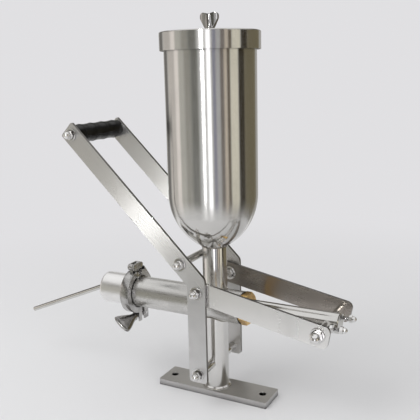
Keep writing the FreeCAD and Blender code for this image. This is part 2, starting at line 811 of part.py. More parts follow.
def make_clamp():
    """Two-piece pipe clamp with a double-pin hinge above and a swing bolt below."""
    rise = s.clamp_hinge_rise
    web = s.clamp_boss_dia * 0.6
    drop = -s.clamp_bolt_drop
    lug_top = pump_radius + s.clamp_width / 2
    lug_height = s.clamp_lug_end - lug_top
    rings = {}
    for side, name, start, end in (
            (-1, "clamp_front_half", s.clamp_front_from_angle, s.clamp_front_to_angle),
            (1, "clamp_rear_half", s.clamp_rear_from_angle, s.clamp_rear_to_angle)):
        ring = clamp_ring(f"{name}_ring", start, end)
        boss_y = side * s.clamp_hinge_half
        boss = across(f"{name}_boss", s.clamp_boss_dia, s.clamp_boss_width, boss_y, rise)
        neck = box(f"{name}_neck", (s.clamp_boss_width, web, rise - ferrule_radius - s.clamp_neck_foot),
                   (-s.joint_reach - s.clamp_boss_width / 2, boss_y - web / 2,
                    s.pump_height + ferrule_radius + s.clamp_neck_foot))
        pin = across(f"{name}_pin_hole", s.clamp_pin_dia + 2 * s.clamp_pin_fit,
                     s.clamp_width, boss_y, rise)
        rings[name] = [ring, boss, neck, pin]

    ring, boss, neck, pin = rings["clamp_front_half"]
    lug_y = s.clamp_front_lug_at - s.clamp_front_lug / 2
    lug = box("clamp_front_lug_block", (s.clamp_lug_width, s.clamp_front_lug, lug_height),
              (-s.joint_reach - s.clamp_lug_width / 2, lug_y, s.pump_height - s.clamp_lug_end))
    slot = s.clamp_bolt_dia + 2 * s.clamp_slot_play
    slot_round = cylinder("clamp_slot_end", slot, s.clamp_front_lug * 2,
                          (-s.joint_reach, lug_y - s.clamp_front_lug / 2, s.pump_height + drop),
                          ALONG_Y)
    slot_open = box("clamp_slot_way", (slot, s.clamp_front_lug * 2, s.clamp_lug_end),
                    (-s.joint_reach - slot / 2, lug_y - s.clamp_front_lug / 2,
                     s.pump_height + drop - s.clamp_lug_end))
    keep_out = cylinder("clamp_front_flange_room", s.ferrule_dia + 2 * s.clamp_clearance,
                        s.gasket_gap + 2 * s.ferrule_edge + 2 * s.clamp_clearance,
                        (-s.joint_reach - s.gasket_gap / 2 - s.ferrule_edge - s.clamp_clearance,
                         0, s.pump_height), ALONG_X)
    solid = fuse("clamp_front_solid", [ring, boss, neck, lug])
    node("clamp_front_half", cut("clamp_front_cut", solid, [pin, slot_round, slot_open, keep_out]))

    ring, boss, neck, pin = rings["clamp_rear_half"]
    ears = s.clamp_eye_width + 2 * s.clamp_eye_gap + 2 * s.clamp_ear_wall
    ear_depth = s.clamp_eye_dia * 0.8
    ear = box("clamp_ear_block", (ears, ear_depth, lug_height),
              (-s.joint_reach - ears / 2, s.clamp_eye_at - ear_depth / 2,
               s.pump_height - s.clamp_lug_end))
    between = s.clamp_eye_width + 2 * s.clamp_eye_gap
    eye_room = cylinder("clamp_eye_room",
                        s.clamp_eye_dia + 2 * (s.clamp_eye_gap + s.clamp_slot_play), between,
                        (-s.joint_reach - between / 2, s.clamp_eye_at, s.pump_height + drop),
                        ALONG_X)
    eye_way = box("clamp_eye_way", (between, s.clamp_eye_dia * 2, s.clamp_lug_end),
                  (-s.joint_reach - between / 2, s.clamp_eye_at - s.clamp_eye_dia,
                   s.pump_height + drop - s.clamp_lug_end))
    shank_way = box("clamp_shank_way", (between, s.clamp_eye_dia, s.clamp_eye_dia),
                    (-s.joint_reach - between / 2, s.clamp_eye_at - s.clamp_eye_dia,
                     s.pump_height + drop - s.clamp_eye_dia + s.clamp_bolt_dia / 2
                     + s.clamp_slot_play))
    ear_pin = across("clamp_ear_pin_hole", s.clamp_pin_dia + 2 * s.clamp_pin_fit,
                     s.clamp_width * 2, s.clamp_eye_at, drop)
    rear_keep_out = cylinder("clamp_rear_flange_room", s.ferrule_dia + 2 * s.clamp_clearance,
                             s.gasket_gap + 2 * s.ferrule_edge + 2 * s.clamp_clearance,
                             (-s.joint_reach - s.gasket_gap / 2 - s.ferrule_edge
                              - s.clamp_clearance, 0, s.pump_height), ALONG_X)
    solid = fuse("clamp_rear_solid", [ring, boss, neck, ear, *hinge_web()])
    node("clamp_rear_half", cut("clamp_rear_cut", solid,
                                [pin, eye_room, eye_way, shank_way, ear_pin, rear_keep_out]))

    plates = []
    inner = s.clamp_boss_width / 2 + s.clamp_eye_gap
    for side, start in ((-1, -inner - s.clamp_link_plate), (1, inner)):
        tag = "left" if side < 0 else "right"
        ends = [cylinder(f"clamp_link_{tag}_{end}", s.clamp_boss_dia, s.clamp_link_plate,
                         (-s.joint_reach + start, end * s.clamp_hinge_half, s.pump_height + rise),
                         ALONG_X) for end in (-1, 1)]
        strap = box(f"clamp_link_{tag}_strap",
                    (s.clamp_link_plate, 2 * s.clamp_hinge_half, s.clamp_boss_dia),
                    (-s.joint_reach + start, -s.clamp_hinge_half,
                     s.pump_height + rise - s.clamp_boss_dia / 2))
        holes = [cylinder(f"clamp_link_{tag}_hole_{end}", s.clamp_pin_dia + 2 * s.clamp_pin_fit,
                          s.clamp_link_plate * 3,
                          (-s.joint_reach + start - s.clamp_link_plate,
                           end * s.clamp_hinge_half, s.pump_height + rise),
                          ALONG_X) for end in (-1, 1)]
        ring_room = cylinder(f"clamp_link_{tag}_room", s.clamp_dia + 2 * s.clamp_eye_gap,
                             s.clamp_width * 2,
                             (-s.joint_reach - s.clamp_width, 0, s.pump_height), ALONG_X)
        plates.append(cut(f"clamp_link_{tag}", fuse(f"clamp_link_{tag}_solid", ends + [strap]),
                          holes + [ring_room]))
    node("clamp_hinge_link", group("clamp_hinge_plates", plates))

    pin_length = s.clamp_boss_width + 2 * (s.clamp_eye_gap + s.clamp_link_plate + s.clamp_pin_overhang)
    pins = [across(f"clamp_hinge_pin_{tag}", s.clamp_pin_dia, pin_length,
                   side * s.clamp_hinge_half, rise) for tag, side in (("front", -1), ("rear", 1))]
    node("clamp_hinge_pins", group("clamp_pins", pins))
    node("clamp_bolt_pin", across("clamp_bolt_pivot", s.clamp_pin_dia,
                                  ears + 2 * s.clamp_pin_overhang,
                                  s.clamp_eye_at, drop))

    eye = across("clamp_bolt_eye", s.clamp_eye_dia, s.clamp_eye_width, s.clamp_eye_at, drop)
    shank = cylinder("clamp_bolt_shank", s.clamp_bolt_dia, s.clamp_bolt_length,
                     (-s.joint_reach, s.clamp_eye_at, s.pump_height + drop), ALONG_MINUS_Y)
    eye_hole = across("clamp_bolt_eye_hole", s.clamp_pin_dia + 2 * s.clamp_pin_fit,
                      s.clamp_eye_width * 2, s.clamp_eye_at, drop)
    node("clamp_swing_bolt", cut("clamp_bolt_cut", fuse("clamp_bolt_solid", [eye, shank]),
                                 [eye_hole]))


def make_clamp_wing_nut():
    """Cast wing nut of the clamp: a hub that opens into one broad fan with a rounded outer edge."""
    face_y = s.clamp_front_lug_at - s.clamp_front_lug / 2 - s.clamp_nut_gap
    at = (-s.joint_reach, face_y, s.pump_height - s.clamp_bolt_drop)
    turn = Rotation(Vector(0, 1, 0), s.clamp_nut_turn_angle.value)
    hub_length = s.clamp_nut_length * 0.72
    hub = cone("clamp_nut_cone", s.clamp_nut_hub, s.clamp_nut_neck, hub_length, at, ALONG_MINUS_Y)
    body = new_body("clamp_nut_wings", at, turn * ALONG_MINUS_Y)
    half = s.clamp_nut_span / 2
    low = s.clamp_nut_length * 0.16
    high = s.clamp_nut_length
    shoulder = high - s.clamp_nut_crown
    # the outer edge is one arc through both shoulders and the crown
    edge_radius = (half * half + s.clamp_nut_crown * s.clamp_nut_crown) / (2 * s.clamp_nut_crown)
    outline = new_sketch(body, "clamp_wing_outline", "XZ_Plane")
    draw_outline(outline, [
        (-s.clamp_nut_neck * 0.42, low), (s.clamp_nut_neck * 0.42, low),
        (half * 0.62, shoulder * 0.6), (half, shoulder), (-half, shoulder),
        (-half * 0.62, shoulder * 0.6)],
        {3: (edge_radius, (0, high - edge_radius))})
    pad(body, "clamp_wing_pad", outline, s.clamp_nut_plate, midplane=True)
    doc.recompute()
    round_corners(body, "clamp_wing_shoulders",
                  [flat_point(half, shoulder), flat_point(-half, shoulder)], Vector(0, 1, 0),
                  s.clamp_nut_corner)
    oval = oval_prism("clamp_nut_oval_bar", s.clamp_nut_span, s.clamp_nut_plate, high, at,
                      turn * ALONG_MINUS_Y)
    solid = fuse("clamp_nut_solid", [hub, common("clamp_nut_rounded", body, oval)])
    bore = cylinder("clamp_nut_bore", s.clamp_bolt_dia + 2 * s.bolt_fit,
                    s.clamp_nut_length * 0.66 + s.tool_overrun,
                    (at[0], face_y + s.tool_overrun, at[2]), ALONG_MINUS_Y)
    return node("clamp_wing_nut", cut("clamp_nut_cut", solid, [bore]))


def make_gland():
    """Eight-sided brass gland that screws into the back of the pump and guides the rod."""
    face = s.pump_back + s.gland_washer
    body = new_body("gland_bush", (face, 0, s.pump_height))
    flats = s.gland_flats / 2
    corner = flats * tangent(22.5)
    outline = new_sketch(body, "gland_octagon", "YZ_Plane")
    draw_outline(outline, [
        (flats, -corner), (flats, corner), (corner, flats), (-corner, flats),
        (-flats, corner), (-flats, -corner), (-corner, -flats), (corner, -flats)])
    pad(body, "gland_nut", outline, s.gland_length)
    bevel_far = s.gland_length
    turned = cone("gland_bevel_cone", s.gland_flats * 1.09 + 2 * s.gland_length,
                  s.gland_flats - s.gland_bevel, s.gland_length + s.gland_bevel / 2,
                  (face, 0, s.pump_height), ALONG_X)
    shaped = common("gland_bevelled", body, turned)
    spigot = cylinder("gland_spigot_turned", pump_bore - 2 * s.thread_fit,
                      s.gland_spigot + s.gland_washer,
                      (face - s.gland_spigot - s.gland_washer, 0, s.pump_height), ALONG_X)
    solid = fuse("gland_solid", [shaped, spigot])
    bore = cylinder("gland_bore", s.rod_dia + 2 * s.rod_fit, bevel_far * 4,
                    (face - bevel_far * 2, 0, s.pump_height), ALONG_X)
    seat = cylinder("gland_seal_seat", s.rod_dia + 2 * s.rod_seal_section,
                    s.rod_seal_section * 1.2,
                    (face + s.gland_length / 2 - s.rod_seal_section * 0.6, 0, s.pump_height),
                    ALONG_X)
    return node("gland_bush", cut("gland_cut", solid, [bore, seat]))


def seal_ring(name, inner, outer, width, middle):
    """Moulded ring round the pump's axis, its square section bevelled at the four corners."""
    body = new_body(name, (middle, 0, s.pump_height))
    half = width / 2
    bevel = s.seal_bevel
    section = new_sketch(body, f"{name}_section", "XZ_Plane")
    draw_outline(section, [
        (-half + bevel, inner), (half - bevel, inner), (half, inner + bevel),
        (half, outer - bevel), (half - bevel, outer), (-half + bevel, outer),
        (-half, outer - bevel), (-half, inner + bevel)])
    revolve(body, f"{name}_turned", section, "X_Axis")
    return body


def make_gland_seals():
    """Flat black washer under the brass head, and the rod's wiper ring inside it."""
    outer = cylinder("gland_washer_outer", s.pump_dia, s.gland_washer,
                     (s.pump_back, 0, s.pump_height), ALONG_X)
    bore = cylinder("gland_washer_bore", pump_bore, s.gland_washer + s.tool_overrun,
                    (s.pump_back - s.tool_overrun / 2, 0, s.pump_height), ALONG_X)
    node("gland_washer", cut("gland_washer_cut", outer, [bore]))
    middle = s.pump_back + s.gland_washer + s.gland_length / 2
    inner = s.rod_dia / 2 + s.rod_fit
    outer = s.rod_dia / 2 + s.rod_seal_section - s.rod_fit
    return node("rod_seal", seal_ring("rod_seal_ring", inner, outer, s.rod_seal_section, middle))


def make_piston():
    """Rod, plastic piston with two rings, and the nut that holds the piston on the rod."""
    back = s.piston_at + s.piston_length
    bar = cylinder("rod_bar", s.rod_dia, rod_end - back - s.rod_bevel,
                   (back, 0, s.pump_height), ALONG_X)
    tip = cone("rod_bevel_cone", s.rod_dia, s.rod_dia - 2 * s.rod_bevel, s.rod_bevel,
               (rod_end - s.rod_bevel, 0, s.pump_height), ALONG_X)
    spigot_length = s.piston_length + s.piston_nut_height + s.rod_bevel
    spigot = cylinder("rod_spigot", s.rod_spigot_dia, spigot_length,
                      (back - spigot_length, 0, s.pump_height), ALONG_X)
    bar_hole = cylinder("rod_cross_hole", s.crossbar_dia, s.rod_dia * 2,
                        (crosshead_x, -s.rod_dia, s.pump_height), ALONG_Y)
    node("piston_rod", cut("rod_cut", fuse("rod_solid", [bar, tip, spigot]), [bar_hole]))

    body = new_body("piston_head", (s.piston_at, 0, s.pump_height))
    outer = pump_bore / 2 - s.piston_fit
    groove = outer - s.piston_ring_section * 0.86
    half = s.piston_ring_section * 0.6
    length = s.piston_length
    places = [length * 0.27, length * 0.73]
    bore = s.rod_spigot_dia / 2 + s.gland_fit
    points = [(0, bore), (0, outer)]
    for middle in places:
        points += [(middle - half, outer), (middle - half, groove),
                   (middle + half, groove), (middle + half, outer)]
    points += [(length, outer), (length, bore)]
    section = new_sketch(body, "piston_section", "XZ_Plane")
    draw_outline(section, points)
    revolve(body, "piston_turned", section, "X_Axis")
    node("piston_head", body)

    rings = [seal_ring(f"piston_ring_{index}", groove + s.gland_fit,
                       pump_bore / 2 - s.piston_fit / 2, s.piston_ring_section, s.piston_at + middle)
             for index, middle in enumerate(places)]
    node("piston_rings", group("piston_ring_pair", rings))

    nut = hexagon("piston_nut_hex", s.piston_nut_flats, s.piston_nut_height,
                  (s.piston_at - s.piston_nut_height, 0, s.pump_height), ALONG_X)
    hole = cylinder("piston_nut_bore", s.rod_spigot_dia + 2 * s.gland_fit,
                    s.piston_nut_height * 2,
                    (s.piston_at - s.piston_nut_height * 1.5, 0, s.pump_height), ALONG_X)
    node("piston_nut", cut("piston_nut_cut", nut, [hole]))


def acorn_nut(name, flats, height, dome, thread, at, rotation):
    """Domed nut: a hexagon bevelled at its foot, a collar, a half ball, and a blind thread."""
    dome_radius = flats * 0.43
    prism = hexagon(f"{name}_hexagon", flats, height, (0, 0, 0))
    bevel = cone(f"{name}_bevel", flats * 1.02, flats * 1.02 + 4 * height, height * 2, (0, 0, 0))
    foot = common(f"{name}_foot", prism, bevel)
    collar = cylinder(f"{name}_collar", 2 * dome_radius, height + dome - dome_radius, (0, 0, 0))
    ball = doc.addObject("Part::Sphere", f"{name}_ball")
    bind(ball, "Radius", dome_radius)
    place(ball, (0, 0, height + dome - dome_radius))
    thread_hole = cylinder(f"{name}_thread", thread + 2 * s.thread_fit,
                           height * 1.1 + s.tool_overrun, (0, 0, -s.tool_overrun))
    nut = cut(name, fuse(f"{name}_solid", [foot, collar, ball]), [thread_hole])
    return place(nut, at, rotation)


def washer(name, dia, bore, thickness, at, rotation):
    disc = cylinder(f"{name}_disc", dia, thickness, (0, 0, 0))
    hole = cylinder(f"{name}_hole", bore, thickness + s.tool_overrun, (0, 0, -s.tool_overrun / 2))
    return place(cut(name, disc, [hole]), at, rotation)


def both_sides():
    """The two sides of the machine: a tag, the sign of Y, and the turn from +Z to that side."""
    return (("front", -1, ALONG_MINUS_Y), ("back", 1, ALONG_Y))


def make_crossbar():
    """Bar across the rod's end, with a journal for each link, and its end nuts and washers."""
    middle = cylinder("crossbar_middle", s.crossbar_dia, 2 * link_inner - 2 * s.bolt_fit,
                      (crosshead_x, -link_inner + s.bolt_fit, s.pump_height), ALONG_Y)
    journal_end = lever_outer + s.big_nut_height * 0.35
    journals = cylinder("crossbar_journals", s.journal_dia, 2 * journal_end,
                        (crosshead_x, -journal_end, s.pump_height), ALONG_Y)
    screw_holes = [cylinder(f"crossbar_screw_hole_{tag}", s.screw_dia + 2 * s.bolt_fit,
                            s.crossbar_dia * 2,
                            (crosshead_x - s.crossbar_dia, side * s.screw_offset, s.pump_height),
                            ALONG_X) for tag, side, turn in both_sides()]
    node("crossbar", cut("crossbar_cut", fuse("crossbar_solid", [middle, journals]), screw_holes))
    washers = []
    nuts = []
    for tag, side, turn in both_sides():
        washer_y = side * (link_outer + s.bolt_fit)
        washers.append(washer(f"crossbar_washer_{tag}", s.big_washer_dia,
                              s.journal_dia + 2 * s.bolt_fit, s.big_washer_thickness,
                              (crosshead_x, washer_y, s.pump_height), turn))
        nut_y = side * (link_outer + s.bolt_fit + s.big_washer_thickness)
        nuts.append(acorn_nut(f"crossbar_nut_{tag}", s.big_nut_flats, s.big_nut_height,
                              s.big_nut_dome, s.journal_dia,
                              (crosshead_x, nut_y, s.pump_height), turn))
    node("crossbar_washers", group("crossbar_washer_pair", washers))
    node("crossbar_acorn_nuts", group("crossbar_nut_pair", nuts))


def make_stroke_screws():
    """Two screws through the crossbar; screwed further in, they meet the gland and shorten the stroke."""
    locks = []
    flats_x = crosshead_x + s.crossbar_dia / 2
    for tag, side, turn in both_sides():
        y = side * s.screw_offset
        shank_length = s.screw_tail + s.screw_head_at + s.lock_nut_height
        shank = cylinder(f"screw_shank_{tag}", s.screw_dia, shank_length,
                         (crosshead_x - s.screw_tail, y, s.pump_height), ALONG_X)
        head = acorn_nut(f"screw_head_{tag}", s.lock_nut_flats, s.lock_nut_height,
                         s.small_nut_dome, s.screw_dia - 1,
                         (crosshead_x + s.screw_head_at, y, s.pump_height), ALONG_X)
        node(f"stroke_screw_{tag}", fuse(f"stroke_screw_{tag}_fused", [shank, head]))
        locks.append(washer(f"lock_washer_{tag}", s.lock_washer_dia,
                            s.screw_dia + 4 * s.bolt_fit, s.lock_washer,
                            (flats_x + s.lock_nut_height + s.bolt_fit, y, s.pump_height), ALONG_X))
        nut = hexagon(f"lock_nut_hex_{tag}", s.lock_nut_flats, s.lock_nut_height,
                      (flats_x + s.bolt_fit, y, s.pump_height), ALONG_X)
        hole = cylinder(f"lock_nut_hole_{tag}", s.screw_dia + 4 * s.bolt_fit,
                        s.lock_nut_height * 2, (flats_x, y, s.pump_height), ALONG_X)
        locks.append(cut(f"lock_nut_{tag}", nut, [hole]))
    node("stroke_lock_nuts", group("stroke_lock_set", locks))


def make_links():
    """Two flat bars from the lever down to the crossbar."""
    half = s.link_width / 2
    lean_x = crosshead_x / s.link_length
    lean_z = link_rise / s.link_length
    upper_end = s.link_upper_end
    lower_end = half
    for tag, side, turn in both_sides():
        body = new_body(f"link_bar_{tag}", (crosshead_x, side * (link_inner + s.plate_thickness / 2),
                                            s.pump_height))

        def spot(along, out):
            """A point of the bar: along from the crossbar to the lever, and out above the axis."""
            return (-(lean_x * along) + lean_z * out, lean_z * along + lean_x * out)

        ends = [spot(-lower_end, -half), spot(s.link_length + upper_end, -half),
                spot(s.link_length + upper_end, half), spot(-lower_end, half)]
        outline = new_sketch(body, f"link_outline_{tag}", "XZ_Plane")
        draw_outline(outline, ends)
        pad(body, f"link_pad_{tag}", outline, s.plate_thickness, midplane=True)
        holes = new_sketch(body, f"link_holes_{tag}", "XZ_Plane")
        draw_circle(holes, (0, 0), s.journal_dia + 2 * s.journal_fit)
        draw_circle(holes, spot(s.link_length, 0), s.bolt_dia + 2 * s.link_play)
        pocket(body, f"link_eyes_{tag}", holes)
        round_corners(body, f"link_corners_{tag}", [flat_point(*end) for end in ends],
                      Vector(0, 1, 0), s.link_corner)
        node(f"link_bar_{tag}", body)


def make_lever_plates():
    """Two dog-leg plates: upright from the pivot, then leaning back up to the grip."""
    half = s.lever_width / 2
    mitre = half * tangent(s.lever_angle / 2)
    arm_reach = s.arm_length + s.arm_end
    tip_x = arm_x * arm_reach
    tip_z = bend_height + arm_z * arm_reach
    foot = s.pivot_height - s.foot_end
    corners = [
        (-half, foot), (half, foot), (half, bend_height + mitre),
        (tip_x + arm_z * half, tip_z - arm_x * half),
        (tip_x - arm_z * half, tip_z + arm_x * half),
        (-half, bend_height - mitre)]
    for tag, side, turn in both_sides():
        body = new_body(f"lever_plate_{tag}",
                        (0, side * (s.lever_half_gap + s.plate_thickness / 2), 0))
        outline = new_sketch(body, f"lever_outline_{tag}", "XZ_Plane")
        draw_outline(outline, corners)
        pad(body, f"lever_pad_{tag}", outline, s.plate_thickness, midplane=True)
        holes = new_sketch(body, f"lever_holes_{tag}", "XZ_Plane")
        clear = s.bolt_dia + 2 * s.bolt_fit
        draw_circle(holes, (0, s.pivot_height), clear)
        draw_circle(holes, (0, crank_height), clear)
        draw_circle(holes, (-stop_x, stop_z), clear)
        draw_circle(holes, (grip_x, grip_z), clear)
        pocket(body, f"lever_bolt_holes_{tag}", holes)
        round_corners(body, f"lever_bend_{tag}", [flat_point(*corners[2])],
                      Vector(0, 1, 0), s.bend_radius)
        round_corners(body, f"lever_foot_{tag}", [flat_point(*p) for p in corners[:2]],
                      Vector(0, 1, 0), s.foot_corner)
        round_corners(body, f"lever_tip_{tag}", [flat_point(*p) for p in corners[3:5]],
                      Vector(0, 1, 0), s.arm_corner)
        node(f"lever_plate_{tag}", body)


def make_grip():
    """Black grip with three finger valleys, turned on a rod between the plates."""
    half = s.lever_half_gap - s.grip_gap
    body = new_body("grip", (grip_x, 0, grip_z))
    swells = 4
    pitch = 2 * half / swells
    outer = s.grip_dia / 2
    valley = s.grip_valley / 2
    bore = s.bolt_dia / 2 + s.bolt_fit
    quarter = pitch / 4
    depth = outer - valley
    # each swell is one arc through its crown and the valleys at both sides
    crown_radius = (quarter * quarter * 4 + depth * depth) / (2 * depth)
    points = [(bore, -half)]
    arcs = {}
    for index in range(swells + 1):
        points.append((valley, -half + pitch * index))
    for index in range(swells):
        middle = -half + pitch * (index + 0.5)
        arcs[index + 1] = (crown_radius, (outer - crown_radius, middle))
    points.append((bore, half))
    section = new_sketch(body, "grip_section", "XY_Plane")
    draw_outline(section, points, arcs)
    revolve(body, "grip_turned", section, "Y_Axis")
    return node("grip", body)


def side_rod(name, dia, half_length, x, z, end_dia=None, end_reach=None):
    """A rod along Y, centred on the machine, with a thinner threaded end at each side."""
    rod = cylinder(f"{name}_middle", dia, 2 * half_length, (x, -half_length, z), ALONG_Y)
    if end_dia is None:
        return rod
    ends = cylinder(f"{name}_ends", end_dia, 2 * end_reach, (x, -end_reach, z), ALONG_Y)
    return fuse(f"{name}_fused", [rod, ends])


def make_lever_fasteners():
    """Rods and bolts of the lever, with their washers and acorn nuts."""
    reach = lever_outer + s.washer_thickness + s.nut_height * 0.9
    node("cross_rod", side_rod("cross_rod", s.cross_rod_dia, s.lever_half_gap - s.bolt_fit,
                               -stop_x, stop_z, s.bolt_dia, reach))
    node("grip_rod", side_rod("grip_rod", s.bolt_dia, reach, grip_x, grip_z))
    bolts = []
    washers = []
    nuts = []
    inner_nut_y = link_inner - s.bolt_fit - s.washer_thickness
    for tag, side, turn in both_sides():
        back_turn = ALONG_Y if side < 0 else ALONG_MINUS_Y
        head_y = side * (inner_nut_y - s.nut_height)
        shank = cylinder(f"link_bolt_shank_{tag}", s.bolt_dia, reach - inner_nut_y + s.nut_height,
                         (0, head_y, crank_height), turn)
        head = hexagon(f"link_bolt_head_{tag}", s.nut_flats, s.nut_height * 0.8,
                       (0, head_y + side * s.nut_height * 0.2, crank_height), turn)
        bolts.append(fuse(f"link_bolt_{tag}", [shank, head]))
        spots = {"stop": (-stop_x, stop_z), "crank": (0, crank_height), "grip": (grip_x, grip_z)}
        for place_name, (x, z) in spots.items():
            washers.append(washer(f"lever_washer_{place_name}_{tag}", s.washer_dia,
                                  s.bolt_dia + 2 * s.bolt_fit, s.washer_thickness,
                                  (x, side * lever_outer, z), turn))
            nuts.append(acorn_nut(f"lever_nut_{place_name}_{tag}", s.nut_flats, s.nut_height,
                                  s.nut_dome, s.bolt_dia,
                                  (x, side * (lever_outer + s.washer_thickness), z), turn))
        washers.append(washer(f"lever_washer_inner_{tag}", s.big_washer_dia,
                              s.bolt_dia + 2 * s.bolt_fit, s.washer_thickness,
                              (0, side * (link_inner - s.bolt_fit), crank_height), back_turn))
    node("link_bolts", group("link_bolt_pair", bolts))
    node("lever_washers", group("lever_washer_set", washers))
    node("lever_acorn_nuts", group("lever_nut_set", nuts))


def make_pivot():
    """Pivot pin through the post, with its spacer bushes, washers and acorn nuts."""
    outer = lever_outer + s.bolt_fit
    reach = outer + s.washer_thickness + s.nut_height * 0.9
    node("pivot_pin", side_rod("pivot_pin", s.bolt_dia, reach, 0, s.pivot_height))
    bushes = []
    washers = []
    nuts = []
    for tag, side, turn in both_sides():
        tube = cylinder(f"pivot_bush_{tag}_tube", s.pivot_bush_dia, s.lever_half_gap - s.bolt_fit,
                        (0, 0, s.pivot_height), turn)
        bore = cylinder(f"pivot_bush_{tag}_bore", s.bolt_dia + 2 * s.bolt_fit,
                        s.lever_half_gap + s.tool_overrun, (0, 0, s.pivot_height), turn)
        post = cylinder(f"pivot_bush_{tag}_post", s.post_dia, s.pump_height, (0, 0, 0))
        bushes.append(cut(f"pivot_bush_{tag}", tube, [bore, post]))
        washers.append(washer(f"pivot_washer_{tag}", s.washer_dia, s.bolt_dia + 2 * s.bolt_fit,
                              s.washer_thickness, (0, side * outer, s.pivot_height), turn))
        nuts.append(acorn_nut(f"pivot_nut_{tag}", s.nut_flats, s.nut_height, s.nut_dome,
                              s.bolt_dia, (0, side * (outer + s.washer_thickness),
                                           s.pivot_height), turn))
    node("pivot_bushes", group("pivot_bush_pair", bushes))
    node("pivot_washers", group("pivot_washer_pair", washers))
    node("pivot_acorn_nuts", group("pivot_nut_pair", nuts))


def check_and_write():
    """Recompute, test every object and every solid, and write one file for each node."""
    doc.recompute()
    for obj in doc.Objects:
        if "Invalid" in obj.State or "Error" in obj.State:
            raise ValueError(f"{obj.Name} is {obj.State}")
    os.makedirs("parts", exist_ok=True)
    for name, obj in parts.items():
        shape = obj.Shape
        if shape.isNull() or not shape.isValid() or not shape.Solids:
            raise ValueError(f"{name} is not a valid solid")
        shape.exportStep(os.path.join("parts", f"{name}.step"))
        print(f"{name}: {len(shape.Solids)} solid(s), {shape.Volume / 1000:.2f} cm3")
    print(f"{len(parts)} nodes; crossbar at {crosshead_x.value:.2f}, neck top {neck_top.value:.2f}")


make_base_plate()
make_post()
make_pump_cylinder()
make_neck()
make_hopper()
make_lid()
make_lid_stud()
make_lid_wing_nut()
make_nozzle_cap()
make_nozzle_tube()
make_ferrule_gasket()
make_clamp()
make_clamp_wing_nut()
make_gland()
make_gland_seals()
make_piston()
make_crossbar()
make_stroke_screws()
make_links()
make_lever_plates()
make_grip()
make_lever_fasteners()
make_pivot()
check_and_write()
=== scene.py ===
"""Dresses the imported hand-lever doughnut filler: finishes, welds, threads, nuts and studio light."""

import json
import logging
import math
from dataclasses import dataclass
from enum import Enum

import bpy
import numpy as np
from mathutils import Matrix, Vector

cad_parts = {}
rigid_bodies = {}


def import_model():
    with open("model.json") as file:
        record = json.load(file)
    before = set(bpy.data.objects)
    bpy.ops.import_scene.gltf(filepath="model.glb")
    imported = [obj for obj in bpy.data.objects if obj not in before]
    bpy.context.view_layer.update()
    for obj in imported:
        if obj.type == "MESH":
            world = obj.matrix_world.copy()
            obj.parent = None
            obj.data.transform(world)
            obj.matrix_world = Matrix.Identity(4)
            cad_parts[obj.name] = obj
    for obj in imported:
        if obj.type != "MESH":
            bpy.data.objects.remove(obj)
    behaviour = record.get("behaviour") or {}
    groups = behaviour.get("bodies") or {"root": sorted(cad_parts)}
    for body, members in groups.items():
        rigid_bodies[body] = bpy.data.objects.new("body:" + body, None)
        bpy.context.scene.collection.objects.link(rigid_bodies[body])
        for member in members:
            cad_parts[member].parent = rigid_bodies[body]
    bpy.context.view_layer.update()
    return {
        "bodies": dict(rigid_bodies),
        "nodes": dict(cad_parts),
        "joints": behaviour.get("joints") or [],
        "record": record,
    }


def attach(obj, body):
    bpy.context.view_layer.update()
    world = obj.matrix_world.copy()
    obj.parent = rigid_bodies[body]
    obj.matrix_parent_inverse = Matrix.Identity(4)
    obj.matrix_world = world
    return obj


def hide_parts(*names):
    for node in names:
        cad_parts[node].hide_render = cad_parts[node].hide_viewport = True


log = logging.getLogger("doughnut_filler")

Point = tuple[float, float, float]
Colour = tuple[float, float, float]
Material = bpy.types.Material
Node = bpy.types.Node
Object = bpy.types.Object
Socket = bpy.types.NodeSocket

MM = 0.001
PHOTO_PIXELS = 420
PIN_HEIGHT = 0.0525
PUMP_HEIGHT = 0.1464
JOINT_X = -0.1495
CROSSHEAD_X = 0.1845
BOWL_TOP = 0.290

# Shapes: every new piece is a skin worked out as whole arrays.


class Axis(Enum):
    """A direction that a turned piece points along, as the columns (side, side, along)."""

    PLUS_X = ((0, 0, 1), (0, 1, 0), (-1, 0, 0))
    PLUS_Y = ((1, 0, 0), (0, 0, 1), (0, -1, 0))
    MINUS_Y = ((1, 0, 0), (0, 0, -1), (0, 1, 0))


@dataclass(frozen=True)
class Skin:
    """Points of a closed surface with its four-sided and its three-sided faces."""

    verts: np.ndarray
    quads: np.ndarray
    tris: np.ndarray


def round_angles(count: int) -> np.ndarray:
    """Evenly spaced angles once round, in radians."""
    return np.linspace(0.0, 2 * math.pi, count, endpoint=False)


def place_points(points: np.ndarray, axis: Axis, centre: Point) -> np.ndarray:
    """Turn points made about +Z to another axis and move them."""
    return points @ np.array(axis.value, dtype=float).T + np.array(centre)


def turned_rings(radius: np.ndarray, height: np.ndarray, angle: np.ndarray) -> np.ndarray:
    """Rings round the Z axis: x = r cos a, y = r sin a, z = height.

    Args:
        radius: array (rings, angles), in metres.
        height: height of each ring, in metres.
        angle: the angles round the axis, in radians.

    Returns:
        Array (rings, angles, 3).
    """
    level = np.broadcast_to(height[:, None], radius.shape)
    return np.stack([radius * np.cos(angle), radius * np.sin(angle), level], axis=-1)


